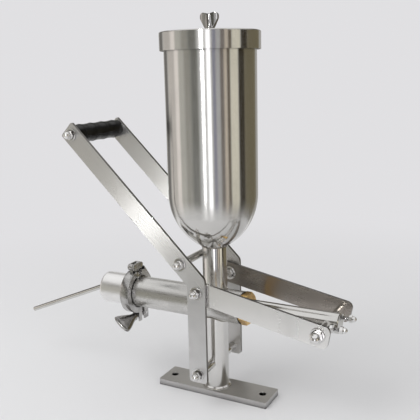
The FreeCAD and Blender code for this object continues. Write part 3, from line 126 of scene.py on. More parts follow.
def skin_over(rings: np.ndarray, closed: bool = False) -> Skin:
    """A skin over rings of points, each ring a closed loop.

    A face joins two neighbours on a ring to the same two on the next ring. Where the last ring
    doesn't join the first, a fan from its middle point shuts each end. The faces are turned so that
    the volume inside, the sum of a . (b x c) over them, is positive.

    Args:
        rings: array (rings, points round, 3), in metres.
        closed: True where the last ring joins the first, as on a weld bead.

    Returns:
        The skin, with its faces pointing outwards.
    """
    count, around = rings.shape[:2]
    verts = rings.reshape(-1, 3)
    spots = np.arange(around)
    beside = (spots + 1) % around
    start = np.arange(count if closed else count - 1)[:, None] * around
    after = (start + around) % (count * around)
    around_face = [start + spots, start + beside, after + beside, after + spots]
    quads = np.stack(around_face, axis=-1).reshape(-1, 4)
    tris = np.empty((0, 3), dtype=int)
    if not closed:
        verts = np.concatenate([verts, rings[:1].mean(axis=1), rings[-1:].mean(axis=1)])
        first, last = np.full(around, count * around), np.full(around, count * around + 1)
        top = (count - 1) * around
        low = np.stack([beside, spots, first], axis=-1)
        high = np.stack([top + spots, top + beside, last], axis=-1)
        tris = np.concatenate([low, high])
    corners = np.concatenate([quads[:, [0, 1, 2]], quads[:, [0, 2, 3]], tris])
    a, b, c = verts[corners].transpose(1, 0, 2)
    if np.einsum("ij,ij->i", a, np.cross(b, c)).sum() < 0:
        quads, tris = quads[:, ::-1], tris[:, ::-1]
    return Skin(verts, quads, tris)


def make_object(name: str, skins: list[Skin], smooth_deg: float = 28.0) -> Object:
    """Join skins into one mesh object at the origin.

    Args:
        name: name of the new object.
        skins: what it is made of.
        smooth_deg: faces that meet at less than this angle shade as one surface.

    Returns:
        The linked object.
    """
    faces, start = [], 0
    for skin in skins:
        faces += (skin.quads + start).tolist() + (skin.tris + start).tolist()
        start += len(skin.verts)
    mesh = bpy.data.meshes.new(name)
    mesh.from_pydata(np.concatenate([skin.verts for skin in skins]).tolist(), [], faces)
    mesh.shade_smooth()
    mesh.set_sharp_from_angle(angle=math.radians(smooth_deg))
    obj = bpy.data.objects.new(name, mesh)
    bpy.context.scene.collection.objects.link(obj)
    return obj


def hex_radius(angle: np.ndarray, flats: float, softness: float = 40.0) -> np.ndarray:
    """Radius of a hexagon with slightly soft corners.

    The exact hexagon is flats / 2 over the greatest cosine to its six sides; a power mean of the
    cosines with a high exponent rounds the corners a little.

    Args:
        angle: angles round the axis, in radians.
        flats: distance across flats, in metres.
        softness: higher is sharper.

    Returns:
        The radius at each angle.
    """
    sides = np.arange(6) * math.pi / 3
    cosines = np.clip(np.cos(angle[..., None] - sides), 0.0, None)
    return flats / 2 / (np.sum(cosines**softness, axis=-1) ** (1 / softness))


@dataclass(frozen=True)
class DomedNut:
    """Size of an acorn nut: across flats, height of the hexagon and height of the dome."""

    flats: float
    height: float
    dome: float

    def shape(self, axis: Axis, centre: Point, turn: float = 0.0) -> Skin:
        """The nut as one skin: a hexagon bevelled at both faces, then a collar and a dome.

        Up the hexagon r(a, v) = min(hexagon(a), cone(v)). On the dome r = collar cos t and
        z = foot of the dome + its rise times sin t.

        Args:
            axis: direction that the dome points.
            centre: middle of the foot.
            turn: turn of the hexagon about its axis, in radians.

        Returns:
            The nut.
        """
        flats, corner, collar = self.flats, self.flats / 2 / math.cos(math.pi / 6), self.flats * 0.43
        share = np.array([0.0, 0.0, 0.04, 0.08, 0.13, 0.18, 0.80, 0.86, 0.92, 0.97, 1.0])
        cone = np.array([
            0.0, flats * 0.46, flats * 0.485, flats * 0.52, corner * 0.985, corner * 1.1,
            corner * 1.1, corner * 0.985, corner * 0.94, flats * 0.5, flats * 0.465,
        ])
        angle = round_angles(120)
        hexagon = np.minimum(hex_radius(angle - turn, flats), cone[:, None])
        rise = np.linspace(0.0, math.pi / 2, 18)[1:]
        foot = self.height + max(self.dome - collar, 0.0)
        dome_height = foot + (self.height + self.dome - foot) * np.sin(rise)
        dome_radius = np.concatenate([[collar, collar], collar * np.cos(rise)])
        height = np.concatenate([share * self.height, [self.height, foot], dome_height])
        radius = np.concatenate([hexagon, np.repeat(dome_radius[:, None], len(angle), axis=1)])
        return skin_over(place_points(turned_rings(radius, height, angle), axis, centre))


@dataclass(frozen=True)
class PlainNut:
    """Size of a plain hexagon nut or bolt head."""

    flats: float
    height: float

    def shape(self, axis: Axis, centre: Point, turn: float = 0.0) -> Skin:
        """The hexagon with both faces bevelled: r(a, v) = min(hexagon(a), cone(v)).

        Args:
            axis: direction of the nut's axis.
            centre: middle of the foot.
            turn: turn of the hexagon about its axis, in radians.

        Returns:
            The nut.
        """
        angle = round_angles(120)
        corner = self.flats / 2 / math.cos(math.pi / 6)
        share = np.array([0.0, 0.0, 0.05, 0.10, 0.18, 0.82, 0.90, 0.95, 1.0, 1.0])
        edge = np.array([0.0, 0.465, 0.49, 0.53, 0.64, 0.64, 0.53, 0.49, 0.465, 0.0])
        cone = np.minimum(edge * self.flats, corner * 1.1)
        radius = np.minimum(hex_radius(angle - turn, self.flats), cone[:, None])
        return skin_over(place_points(turned_rings(radius, share * self.height, angle), axis, centre))


@dataclass(frozen=True)
class Thread:
    """Size of an outside thread: crest diameter and pitch."""

    diameter: float
    pitch: float

    def shape(self, length: float, axis: Axis, centre: Point) -> Skin:
        """A threaded bar with bevelled ends.

        r(a, z) = crest - 0.55 pitch * w, where w is the triangle wave of z / pitch - a / 2 pi, clipped
        a little at the crest and the root. The ends are held in a cone of 45 degrees.

        Args:
            length: length of the bar, in metres.
            axis: direction of the bar.
            centre: its start.

        Returns:
            The bar.
        """
        angle = round_angles(36)
        height = np.linspace(0.0, length, max(int(length / self.pitch * 8), 16))
        phase = height[:, None] / self.pitch - angle / (2 * math.pi)
        wave = np.abs(2 * (phase - np.floor(phase + 0.5)))
        crest = self.diameter / 2
        radius = crest - 0.55 * self.pitch * np.clip(1.15 * wave - 0.1, 0.0, 0.95)
        to_end = np.minimum(height, length - height)[:, None]
        radius = np.minimum(radius, crest - 0.8 * self.pitch + to_end)
        return skin_over(place_points(turned_rings(radius, height, angle), axis, centre))


@dataclass(frozen=True)
class Washer:
    """A flat washer or ring with broken edges: outer and inner diameter and thickness."""

    outer: float
    inner: float
    thickness: float

    def shape(self, axis: Axis, centre: Point) -> Skin:
        """The ring's section swept round its axis as a closed loop.

        Args:
            axis: direction of the ring's axis.
            centre: middle of the face that it stands on.

        Returns:
            The ring.
        """
        far, near, high = self.outer / 2, self.inner / 2, self.thickness
        edge = high * 0.28
        reach = [near, far - edge, far - edge * 0.3, far]
        lift = [0.0, 0.0, edge * 0.3, edge]
        radius = np.array(reach + reach[::-1])
        height = np.array(lift + [high - z for z in lift[::-1]])
        angle = round_angles(80)
        rings = turned_rings(np.repeat(radius[:, None], len(angle), axis=1), height, angle)
        return skin_over(place_points(rings.swapaxes(0, 1), axis, centre), closed=True)


@dataclass(frozen=True)
class TrumpetNut:
    """A cast wing nut shaped as a flattened trumpet: a round hub that flares to a hollow oval rim."""

    length: float = 38.0 * MM
    hub: float = 6.5 * MM
    half_span: float = 16.4 * MM
    half_plate: float = 5.5 * MM

    def shape(self, foot: Point, turn: float) -> Skin:
        """The trumpet along -Y: ovals x = a(s) cos t, z = b(s) sin t, a rounded rim and a dished end.

        The half span grows as a(s) = hub + (span - hub) * smooth(s)^0.8, and the half plate b(s) falls
        evenly. Both are drawn in at the hub's edge, at the rim and down the dish.

        Args:
            foot: middle of the hub's flat face.
            turn: turn of the span about Y, in radians.

        Returns:
            The nut.
        """
        body = np.linspace(0.06, 0.97, 22)
        share = np.concatenate([[0.0, 0.0, 0.02], body, [0.985, 1.0, 1.0, 0.98, 0.95, 0.93]])
        inset = np.concatenate([[6.2, 0.7, 0.0], 0 * body, [0.1, 0.5, 1.0, 1.5, 2.2, 3.4]]) * MM
        ramp = np.clip((share - 0.10) / 0.90, 0.0, 1.0)
        grow = (ramp * ramp * (3 - 2 * ramp)) ** 0.8
        wide = self.hub + (self.half_span - self.hub) * grow - inset
        thick = self.hub + (self.half_plate - self.hub) * share
        thick = thick - np.minimum(inset, self.half_plate * 0.8)
        angle = round_angles(72)
        across = wide[:, None] * np.cos(angle)
        through = thick[:, None] * np.sin(angle)
        along = np.broadcast_to((share * self.length)[:, None], across.shape)
        x = across * math.cos(turn) + through * math.sin(turn)
        z = -across * math.sin(turn) + through * math.cos(turn)
        return skin_over(np.stack([x, -along, z], axis=-1) + np.array(foot))


@dataclass(frozen=True)
class WeldBead:
    """A rippled weld: thickness of the bead and spacing of its ripples."""

    thickness: float
    ripple: float

    def along(self, path: np.ndarray, outward: np.ndarray) -> Skin:
        """A closed bead carried along a path.

        Each ring is a circle across the path. Its radius is half the thickness times
        1 + 0.13 |sin(ripples pi u)| + 0.05 sin(7 * 2 pi u), where u is the share of the path gone.

        Args:
            path: array (n, 3), a closed loop without its last point repeated.
            outward: array (n, 3), a direction across the path at each point.

        Returns:
            The bead.
        """
        tangent = np.roll(path, -1, axis=0) - np.roll(path, 1, axis=0)
        tangent /= np.linalg.norm(tangent, axis=1, keepdims=True)
        side = outward - np.sum(outward * tangent, axis=1, keepdims=True) * tangent
        side /= np.linalg.norm(side, axis=1, keepdims=True)
        up = np.cross(tangent, side)
        gaps = np.linalg.norm(np.roll(path, -1, axis=0) - path, axis=1)
        gone = np.concatenate([[0.0], np.cumsum(gaps)[:-1]]) / gaps.sum()
        ripples = round(gaps.sum() / self.ripple)
        size = 1.0 + 0.13 * np.abs(np.sin(math.pi * ripples * gone)) + 0.05 * np.sin(14 * math.pi * gone)
        angle = round_angles(14)[:, None]
        circle = np.cos(angle) * side[:, None, :] + np.sin(angle) * up[:, None, :]
        radius = self.thickness / 2 * size
        return skin_over(path[:, None, :] + radius[:, None, None] * circle, closed=True)


LEVER_NUT = DomedNut(13.0 * MM, 6.5 * MM, 7.5 * MM)
CROSSBAR_NUT = DomedNut(16.0 * MM, 7.5 * MM, 8.5 * MM)
SCREW_HEAD = DomedNut(10.0 * MM, 5.0 * MM, 6.0 * MM)
LOCK_NUT = PlainNut(10.0 * MM, 5.0 * MM)
LOCK_WASHER = Washer(12.0 * MM, 6.3 * MM, 1.6 * MM)
SCREW_THREAD = Thread(6.0 * MM, 1.0 * MM)
GRIP_RIB = Washer(30.0 * MM, 26.4 * MM, 1.8 * MM)
SIDES = ((-1, Axis.MINUS_Y), (1, Axis.PLUS_Y))

# Finishes: each one is a node tree on Object coordinates.


class Grain(Enum):
    """Which way the polishing lines of a metal run, as stretch factors on X, Y and Z."""

    ALONG_X = (0.02, 1.0, 1.0)
    ALONG_Z = (1.0, 1.0, 0.02)
    NONE = (1.0, 1.0, 1.0)


class Spread(Enum):
    """Which way the polish smears a reflection: a fixed direction, or round the pump's axis."""

    NONE = None
    UP = (0.0, 0.0, 1.0)
    ROUND_PUMP = "X"
    ACROSS_ARM = (0.7285, 0.0, 0.685)
    ACROSS_LINK = (0.19, 0.0, 0.982)
    ACROSS_BASE = (0.0, 1.0, 0.0)


@dataclass
class Graph:
    """A short way to build a node tree; a value is a socket to link, a number, a vector or a colour."""

    tree: bpy.types.NodeTree

    def fill(self, node: Node, inputs: dict) -> None:
        """Feed the inputs of a node.

        Args:
            node: the node.
            inputs: a value for each input, by its name or its place; None leaves one as it is.
        """
        for key, value in inputs.items():
            target = node.inputs[key]
            if isinstance(value, Socket):
                self.tree.links.new(value, target)
            elif value is not None:
                target.default_value = (*value, 1.0) if target.type == "RGBA" else value

    def add(self, kind: str, inputs: dict | None = None, **settings: object) -> Node:
        """Add a node.

        Args:
            kind: Blender's name for the kind of node.
            inputs: a value for each input, by its name or its place.
            settings: properties of the node and their values.

        Returns:
            The node.
        """
        node = self.tree.nodes.new(kind)
        for key, value in settings.items():
            setattr(node, key, value)
        self.fill(node, inputs or {})
        return node

    def math(self, operation: str, first: object, second: object = 0.0, third: object = None) -> Socket:
        """A Math node on up to three values; gives its output."""
        inputs = {0: first, 1: second, 2: third}
        return self.add("ShaderNodeMath", inputs, operation=operation).outputs[0]

    def vector_math(self, operation: str, inputs: dict) -> Node:
        """A Vector Math node."""
        return self.add("ShaderNodeVectorMath", inputs, operation=operation)

    def spread(
        self, value: Socket, low: float, high: float, to_low: float = 0.0, to_high: float = 1.0
    ) -> Socket:
        """A smooth, clamped Map Range node.

        Args:
            value: what is mapped.
            low: start of the range.
            high: end of the range.
            to_low: result at the start.
            to_high: result at the end.

        Returns:
            Its output.
        """
        inputs = {"Value": value, "From Min": low, "From Max": high, "To Min": to_low, "To Max": to_high}
        node = self.add("ShaderNodeMapRange", inputs, interpolation_type="SMOOTHSTEP")
        return node.outputs["Result"]

    def coordinates(self, kind: str = "Object") -> Socket:
        """A texture coordinate."""
        return self.add("ShaderNodeTexCoord").outputs[kind]

    def split(self, vector: Socket) -> bpy.types.NodeOutputs:
        """The X, Y and Z of a vector."""
        return self.add("ShaderNodeSeparateXYZ", {0: vector}).outputs

    def mapped(self, scale: Point, turn: Point = (0, 0, 0)) -> Socket:
        """Object coordinates, first turned (in radians) and then scaled."""
        turned_to = self.add("ShaderNodeMapping", {"Vector": self.coordinates(), "Rotation": turn})
        return self.add("ShaderNodeMapping", {"Vector": turned_to.outputs[0], "Scale": scale}).outputs[0]

    def noise(self, vector: Socket, scale: float, detail: float, rough: float) -> Socket:
        """A Noise Texture; gives its factor."""
        inputs = {"Vector": vector, "Scale": scale, "Detail": detail, "Roughness": rough}
        return self.add("ShaderNodeTexNoise", inputs).outputs["Fac"]

    def blend_colours(self, share: Socket, first: object, second: object) -> Socket:
        """Mix two colours; share is how much of the second one is taken."""
        return self.add("ShaderNodeMix", {0: share, 6: first, 7: second}, data_type="RGBA").outputs[2]

    def mix_shaders(self, share: Socket, first: Socket, second: Socket) -> Socket:
        """Mix two shaders; share is how much of the second one is taken."""
        return self.add("ShaderNodeMixShader", {0: share, 1: first, 2: second}).outputs[0]

    def bump(self, height: Socket, distance: float, strength: float) -> Socket:
        """The normal bent by a relief; distance is its full height, in metres."""
        inputs = {"Height": height, "Distance": distance, "Strength": strength}
        return self.add("ShaderNodeBump", inputs).outputs["Normal"]

    def shade_corners(self, colour: Socket, reach: float, depth: float) -> Socket:
        """Darken a colour where surfaces close in on each other: painted shade that stands in for
        contact shadow.

        Args:
            colour: the clean colour.
            reach: how far the corners are felt, in metres.
            depth: share of the colour left in the tightest corner.

        Returns:
            The colour with its corners darkened.
        """
        # Painted shade: ambient occlusion darkens the colour in corners.
        nearby = self.add("ShaderNodeAmbientOcclusion", {"Distance": reach}, samples=8)
        kept = self.spread(nearby.outputs["AO"], 0.25, 0.9, depth, 1.0)
        return self.vector_math("SCALE", {0: colour, "Scale": kept}).outputs[0]


def new_finish(name: str, metallic: float = 1.0) -> tuple[Material, Graph, Node]:
    """An empty material with its Principled shader.

    Args:
        name: name of the material.
        metallic: 1 for metal, 0 for the rest.

    Returns:
        The material, its graph and its shader node.
    """
    material = bpy.data.materials.new(name)
    material.use_nodes = True
    graph = Graph(material.node_tree)
    graph.tree.nodes.clear()
    shader = graph.add("ShaderNodeBsdfPrincipled", {"Metallic": metallic})
    graph.add("ShaderNodeOutputMaterial", {"Surface": shader.outputs["BSDF"]})
    return material, graph, shader


@dataclass(frozen=True)
class Steel:
    """Stainless steel polished along one direction, with faint smears and a few scratches.

    polish is the least and the greatest roughness of the grain and lines is how fine it is. turn tips
    it about Y, in radians. stretch is how far reflections are smeared along spread. Faces that look
    away from flat_axis take their own colour, painted light and shade for how those sides catch the
    light. The share of the colour left in corners is painted shade.
    """

    name: str
    colour: Colour
    grain: Grain
    polish: tuple[float, float]
    lines: float = 1400.0
    line_depth: float = 0.06
    smear: float = 0.05
    scratches: float = 0.03
    turn: float = 0.0
    spread: Spread = Spread.NONE
    stretch: float = 0.9
    mirror_below: float = 0.0
    painted_side_tone: Colour | None = None
    flat_axis: str = "Z"
    corner_shade: float = 1.0
    corner_reach: float = 4.0 * MM

    def smear_direction(self, graph: Graph) -> Socket:
        """The direction that reflections are smeared in, as a world vector.

        Args:
            graph: the material's graph.

        Returns:
            The fixed direction, or the pump's axis x (point - centre) for a surface turned about it.
        """
        turn = graph.add(
            "ShaderNodeVectorTransform", vector_type="VECTOR", convert_from="OBJECT", convert_to="WORLD"
        )
        direction = self.spread.value
        if self.spread is Spread.ROUND_PUMP:
            centre = (0.0, 0.0, PUMP_HEIGHT)
            outward = graph.vector_math("SUBTRACT", {0: graph.coordinates(), 1: centre}).outputs[0]
            direction = graph.vector_math("CROSS_PRODUCT", {0: (1.0, 0.0, 0.0), 1: outward}).outputs[0]
        graph.fill(turn, {0: direction})
        return turn.outputs[0]

    def build(self) -> Material:
        """Make the material: fine stretched noise for the grain, broad noise for smears.

        Returns:
            The material.
        """
        material, graph, shader = new_finish(self.name)
        turn = (0.0, self.turn, 0.0)
        grain = graph.noise(graph.mapped(self.grain.value, turn), self.lines, 2.0, 0.6)
        broad = graph.noise(graph.mapped((1.0, 1.0, 0.6), turn), 16.0, 4.0, 0.6)
        along = graph.mapped(self.grain.value, (0.0, self.turn + 0.09, 0.04))
        marks = graph.noise(along, 260.0, 1.0, 0.4)
        scratch = graph.spread(marks, 0.70, 0.80)
        smear = graph.spread(broad, 0.42, 0.70, 0.0, self.smear)
        rough = graph.math("ADD", graph.spread(grain, 0.25, 0.75, *self.polish), smear)
        rough = graph.math("MULTIPLY_ADD", scratch, self.scratches, rough)
        dull = tuple(c * 0.90 for c in self.colour)
        colour = graph.blend_colours(graph.spread(broad, 0.35, 0.75), self.colour, dull)
        # Painted light and shade: faces that look away from flat_axis take their own colour, darker or
        # lighter for how those sides catch the light.
        if self.painted_side_tone:
            facing = graph.split(graph.add("ShaderNodeNewGeometry").outputs["True Normal"])
            face = graph.math("ABSOLUTE", facing[self.flat_axis])
            colour = graph.blend_colours(graph.spread(face, 0.3, 0.8, 1.0, 0.0), colour, self.painted_side_tone)
        # Painted shade: the colour is darkened in corners and where parts touch.
        if self.corner_shade < 1.0:
            colour = graph.shade_corners(colour, self.corner_reach, self.corner_shade)
        height = graph.math("MULTIPLY_ADD", scratch, -8.0 * self.scratches, grain)
        relief = graph.bump(height, 0.02 * MM, self.line_depth)
        graph.fill(shader, {"Base Color": colour, "Roughness": rough, "Normal": relief})
        if self.spread is not Spread.NONE:
            graph.fill(shader, {"Anisotropic": self.stretch, "Tangent": self.smear_direction(graph)})
        if self.mirror_below > 0.0:
            self.polish_below(graph, shader, rough)
        return material

    def polish_below(self, graph: Graph, shader: Node, rough: Socket) -> None:
        """Polish the metal to a plain mirror under a height, as a hand-buffed bowl is.

        Args:
            graph: the material's graph.
            shader: its Principled shader.
            rough: the roughness of the brushed part.
        """
        low, high = self.mirror_below - 12.0 * MM, self.mirror_below + 6.0 * MM
        brushed = graph.spread(graph.split(graph.coordinates())["Z"], low, high)
        stretch = graph.math("MULTIPLY", brushed, self.stretch)
        share = graph.math("MULTIPLY_ADD", brushed, 0.55, 0.45)
        graph.fill(shader, {"Anisotropic": stretch, "Roughness": graph.math("MULTIPLY", rough, share)})


@dataclass(frozen=True)
class CastSteel:
    """Cast and blasted steel: small pits, painted shade in its corners and hollows, rubbed bright in
    patches.
    """

    name: str
    colour: Colour
    rough: float
    pits: float = 900.0

    def build(self) -> Material:
        """Make the material from two scales of noise.

        Returns:
            The material.
        """
        material, graph, shader = new_finish(self.name)
        vector = graph.mapped((1.0, 1.0, 1.0))
        pits = graph.noise(vector, self.pits, 4.0, 0.65)
        broad = graph.noise(vector, 60.0, 3.0, 0.5)
        dark = tuple(c * 0.72 for c in self.colour)
        colour = graph.blend_colours(graph.spread(broad, 0.35, 0.65), self.colour, dark)
        # Painted shade: the colour is darkened in corners and hollows.
        graph.fill(shader, {
            "Base Color": graph.shade_corners(colour, 8.0 * MM, 0.25),
            "Roughness": graph.spread(pits, 0.3, 0.7, self.rough - 0.08, self.rough + 0.10),
            "Normal": graph.bump(pits, 0.12 * MM, 0.35),
        })
        return material


@dataclass(frozen=True)
class Brass:
    """Machined brass: warm yellow, browner where it is handled, with turning rings about the pump.

    ring_rate is how fast the rings follow each other, in radians for each metre from the axis.
    """

    name: str
    colour: Colour = (0.80, 0.55, 0.22)
    aged: Colour = (0.56, 0.34, 0.12)
    ring_rate: float = 9000.0

    def build(self) -> Material:
        """Make the material; the rings are a sine of the distance from the pump's axis.

        Returns:
            The material.
        """
        material, graph, shader = new_finish(self.name)
        place = graph.split(graph.coordinates())
        lift = graph.math("POWER", graph.math("SUBTRACT", place["Z"], PUMP_HEIGHT), 2.0)
        square = graph.math("ADD", lift, graph.math("POWER", place["Y"], 2.0))
        rings = graph.math("SINE", graph.math("MULTIPLY", graph.math("SQRT", square), self.ring_rate))
        broad = graph.noise(graph.mapped((1, 1, 1)), 90.0, 4.0, 0.6)
        graph.fill(shader, {
            "Base Color": graph.blend_colours(graph.spread(broad, 0.42, 0.68), self.colour, self.aged),
            "Roughness": graph.spread(broad, 0.3, 0.7, 0.20, 0.36),
            "Normal": graph.bump(rings, 0.02 * MM, 0.18),
        })
        return material


@dataclass(frozen=True)
class Moulded:
    """Moulded plastic or rubber with a faint skin texture."""

    name: str
    colour: Colour
    rough: float
    skin: float
    shine: float = 0.5

    def build(self) -> Material:
        """Make the material from fine and broad noise.

        Returns:
            The material.
        """
        material, graph, shader = new_finish(self.name, metallic=0.0)
        vector = graph.mapped((1, 1, 1))
        fine = graph.noise(vector, 1800.0, 2.0, 0.5)
        broad = graph.noise(vector, 45.0, 3.0, 0.5)
        worn = tuple(min(c * 1.25 + 0.004, 1.0) for c in self.colour)
        graph.fill(shader, {
            "Specular IOR Level": self.shine,
            "Base Color": graph.blend_colours(graph.spread(broad, 0.3, 0.7), self.colour, worn),
            "Roughness": graph.spread(broad, 0.3, 0.7, self.rough, self.rough + 0.08),
            "Normal": graph.bump(fine, 0.05 * MM, self.skin),
        })
        return material


class Finishes:
    """Every finish of the machine, built once."""

    def __init__(self) -> None:
        """Build the finishes."""
        steel = (0.68, 0.67, 0.65)
        # Painted shade: a dark colour given to the side faces and hole walls of the link bars and lever
        # plates.
        side_shade = (0.24, 0.23, 0.22)
        self.sheet = Steel(
            "hopper_sheet", steel, Grain.ALONG_Z, (0.18, 0.24), smear=0.02,
            spread=Spread.UP, stretch=1.0, mirror_below=BOWL_TOP,
        ).build()
        self.tube = Steel(
            "polished_tube", (0.76, 0.75, 0.73), Grain.ALONG_Z, (0.12, 0.17), smear=0.03,
            spread=Spread.UP, stretch=0.8,
        ).build()
        self.pump = Steel(
            "pump_tube", steel, Grain.ALONG_X, (0.22, 0.32), line_depth=0.35,
            spread=Spread.ROUND_PUMP, stretch=0.6,
        ).build()
        self.cap = Steel(
            "cap_steel", (0.92, 0.91, 0.90), Grain.ALONG_X, (0.26, 0.38), line_depth=0.40,
            spread=Spread.ROUND_PUMP, stretch=0.5,
        ).build()
        # Painted light and shade: one steel given as two copies, near white on the front link bar for
        # the light on it and dark brown on the back one for the shade it reflects.
        self.bar = Steel(
            "link_bar", (0.95, 0.94, 0.925), Grain.ALONG_X, (0.25, 0.265), line_depth=0.01,
            scratches=0.004, turn=-0.19, spread=Spread.ACROSS_LINK, stretch=0.6, painted_side_tone=side_shade,
            flat_axis="Y",
        ).build()
        self.shaded_back_bar = Steel(
            "shaded_back_link_bar", (0.34, 0.31, 0.28), Grain.ALONG_X, (0.26, 0.31), line_depth=0.03,
            scratches=0.01, turn=-0.19, spread=Spread.ACROSS_LINK, stretch=0.5, painted_side_tone=side_shade,
            flat_axis="Y",
        ).build()
        self.arm = Steel(
            "lever_bar", (0.78, 0.77, 0.76), Grain.ALONG_Z, (0.27, 0.29), line_depth=0.004,
            scratches=0.002, turn=0.755, spread=Spread.ACROSS_ARM, stretch=1.0, painted_side_tone=side_shade,
            flat_axis="Y",
        ).build()
        # Painted light and shade: the base's side faces and hole walls are lighter than its top, and it
        # darkens in corners and round the post's foot.
        self.base = Steel(
            "base_bar", (0.48, 0.465, 0.44), Grain.ALONG_X, (0.30, 0.40), line_depth=0.10, smear=0.08,
            spread=Spread.ACROSS_BASE, painted_side_tone=(0.58, 0.57, 0.565), corner_shade=0.10, corner_reach=12.0 * MM,
        ).build()
        self.turned = Steel(
            "turned_bar", steel, Grain.ALONG_X, (0.06, 0.12), lines=2400.0, smear=0.02
        ).build()
        self.nozzle = Steel(
            "nozzle_steel", steel, Grain.ALONG_X, (0.14, 0.20), line_depth=0.12, smear=0.03
        ).build()
        # Painted shade: the fasteners darken almost to black in corners and where they touch.
        self.fastener = Steel(
            "fastener_steel", (0.80, 0.79, 0.78), Grain.NONE, (0.05, 0.09), lines=900.0, smear=0.02,
            corner_shade=0.02, corner_reach=5.0 * MM,
        ).build()
        # Painted shade: the wing nuts darken in their corners.
        self.wing = Steel(
            "wing_nut_steel", (0.40, 0.39, 0.38), Grain.NONE, (0.10, 0.16), lines=900.0,
            smear=0.04, corner_shade=0.10,
        ).build()
        self.cast = CastSteel("cast_clamp", (0.54, 0.53, 0.52), rough=0.22).build()
        self.weld = CastSteel("weld_bead", (0.40, 0.37, 0.33), rough=0.34, pits=1400.0).build()
        self.brass = Brass("gland_brass").build()
        self.rubber = Moulded("black_rubber", (0.015, 0.015, 0.015), 0.55, skin=0.25, shine=0.4).build()
        self.grip = Moulded("black_grip", (0.003, 0.003, 0.003), 0.16, skin=0.03, shine=0.22).build()
        self.piston = Moulded("white_piston", (0.80, 0.80, 0.77), 0.35, skin=0.06).build()


# Sub-assemblies: each one dresses its own CAD nodes and adds its own pieces.


@dataclass
class Assembly:
    """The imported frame, and the finishes to dress its nodes with."""

    frame: dict
    finishes: Finishes

    def dress(self, finish: Material, *nodes: str) -> None:
        """Give CAD nodes a finish in their own material slots.

        Args:
            finish: the material.
            nodes: names of the nodes.
        """
        for name in nodes:
            for slot in self.frame["nodes"][name].material_slots:
                slot.material = finish
            log.info("dressed %s with %s", name, finish.name)

    def soften(self, width: float, *nodes: str) -> None:
        """Break the sharp edges of CAD nodes with live modifiers: triangles are joined, then bevelled.

        Args:
            width: width of the broken edge, in metres.
            nodes: names of the nodes.
        """
        for name in nodes:
            modifiers = self.frame["nodes"][name].modifiers
            joined = modifiers.new("joined", "WELD")
            joined.merge_threshold = 0.002 * MM
            flat = modifiers.new("flat_faces", "DECIMATE")
            flat.decimate_type = "DISSOLVE"
            flat.angle_limit = math.radians(0.5)
            bevel = modifiers.new("broken_edges", "BEVEL")
            bevel.width = width
            bevel.segments = 2
            bevel.limit_method = "ANGLE"
            bevel.angle_limit = math.radians(40)
            bevel.harden_normals = True

    def add(self, obj: Object, body: str, slot: str, finish: Material, *instead_of: str) -> None:
        """Finish a new piece, seat it on its body and hide the CAD nodes that it stands for.

        Args:
            obj: the new piece.
            body: the body it rides on.
            slot: the record's material slot; not used.
            finish: its material.
            instead_of: CAD nodes that it replaces.
        """
        obj.data.materials.append(finish)
        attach(obj, body)
        if instead_of:
            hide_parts(*instead_of)
        log.info("piece %s on %s", obj.name, body)


@dataclass
class Stand(Assembly):
    """Foot, post, neck and the welds that join them to the pump and the hopper."""

    tube_radius: float = 19.05 * MM
    pump_radius: float = 25.4 * MM
    base_top: float = 10.0 * MM
    neck_top: float = 240.7 * MM
    nut_foot: float = 63.68 * MM

    @staticmethod
    def ring_path(height: float, radius: float) -> tuple[np.ndarray, np.ndarray]:
        """A level circle, (r cos a, r sin a, height).

        Args:
            height: its height, in metres.
            radius: its radius, in metres.

        Returns:
            Its points and their outward directions.
        """
        angle = round_angles(480)
        outward = np.stack([np.cos(angle), np.sin(angle), np.zeros_like(angle)], axis=-1)
        return outward * radius + np.array([0.0, 0.0, height]), outward

    def saddle_path(self, side: int) -> tuple[np.ndarray, np.ndarray]:
        """The line where an upright tube meets the pump: z = pump height +- sqrt(R^2 - (r sin a)^2).

        Args:
            side: 1 for the line on top of the pump, -1 for the one under it.

        Returns:
            Its points and their outward directions.
        """
        angle = round_angles(480)
        x, y = self.tube_radius * np.cos(angle), self.tube_radius * np.sin(angle)
        z = PUMP_HEIGHT + side * np.sqrt(self.pump_radius**2 - y**2)
        outward = np.stack([np.cos(angle), np.sin(angle), np.full_like(angle, 0.6 * side)], axis=-1)
        return np.stack([x, y, z], axis=-1), outward

    def build(self) -> None:
        """Dress the stand, put domed nuts on the pivot pin and lay the weld beads."""
        finishes = self.finishes
        self.dress(finishes.base, "base_plate")
        self.dress(finishes.tube, "post_tube", "neck_tube")
        self.dress(finishes.turned, "pivot_pin", "pivot_bushes")
        self.dress(finishes.fastener, "pivot_washers", "pivot_acorn_nuts")
        self.soften(0.7 * MM, "base_plate")
        self.soften(0.35 * MM, "pivot_washers", "pivot_bushes")
        nuts = [
            LEVER_NUT.shape(axis, (0.0, side * self.nut_foot, PIN_HEIGHT), turn=0.35 * side)
            for side, axis in SIDES
        ]
        pivot_nuts = make_object("pivot_domed_nuts", nuts)
        self.add(pivot_nuts, "stand", "zinc_fasteners", finishes.fastener, "pivot_acorn_nuts")
        around_foot = self.ring_path(self.base_top + 0.5 * MM, self.tube_radius + 2.2 * MM)
        around_neck = self.ring_path(self.neck_top, self.tube_radius + 0.3 * MM)
        for name, bead, path in (
            ("post_foot_weld", WeldBead(1.7 * MM, 1.9 * MM), around_foot),
            ("neck_weld", WeldBead(2.0 * MM, 1.7 * MM), self.saddle_path(1)),
            ("post_weld", WeldBead(2.0 * MM, 1.7 * MM), self.saddle_path(-1)),
            ("hopper_weld", WeldBead(1.8 * MM, 1.6 * MM), around_neck),
        ):
            weld = make_object(name, [bead.along(*path)], smooth_deg=80.0)
            self.add(weld, "stand", "polished_tube", finishes.weld)


@dataclass
class Hopper(Assembly):
    """Hopper, lid and the wing nut that is the lid's handle."""

    def build(self) -> None:
        """Dress the hopper and its lid."""
        self.dress(self.finishes.sheet, "hopper_shell", "lid")
        self.dress(self.finishes.fastener, "lid_stud")
        self.dress(self.finishes.wing, "lid_wing_nut")
        self.soften(0.9 * MM, "lid_wing_nut")


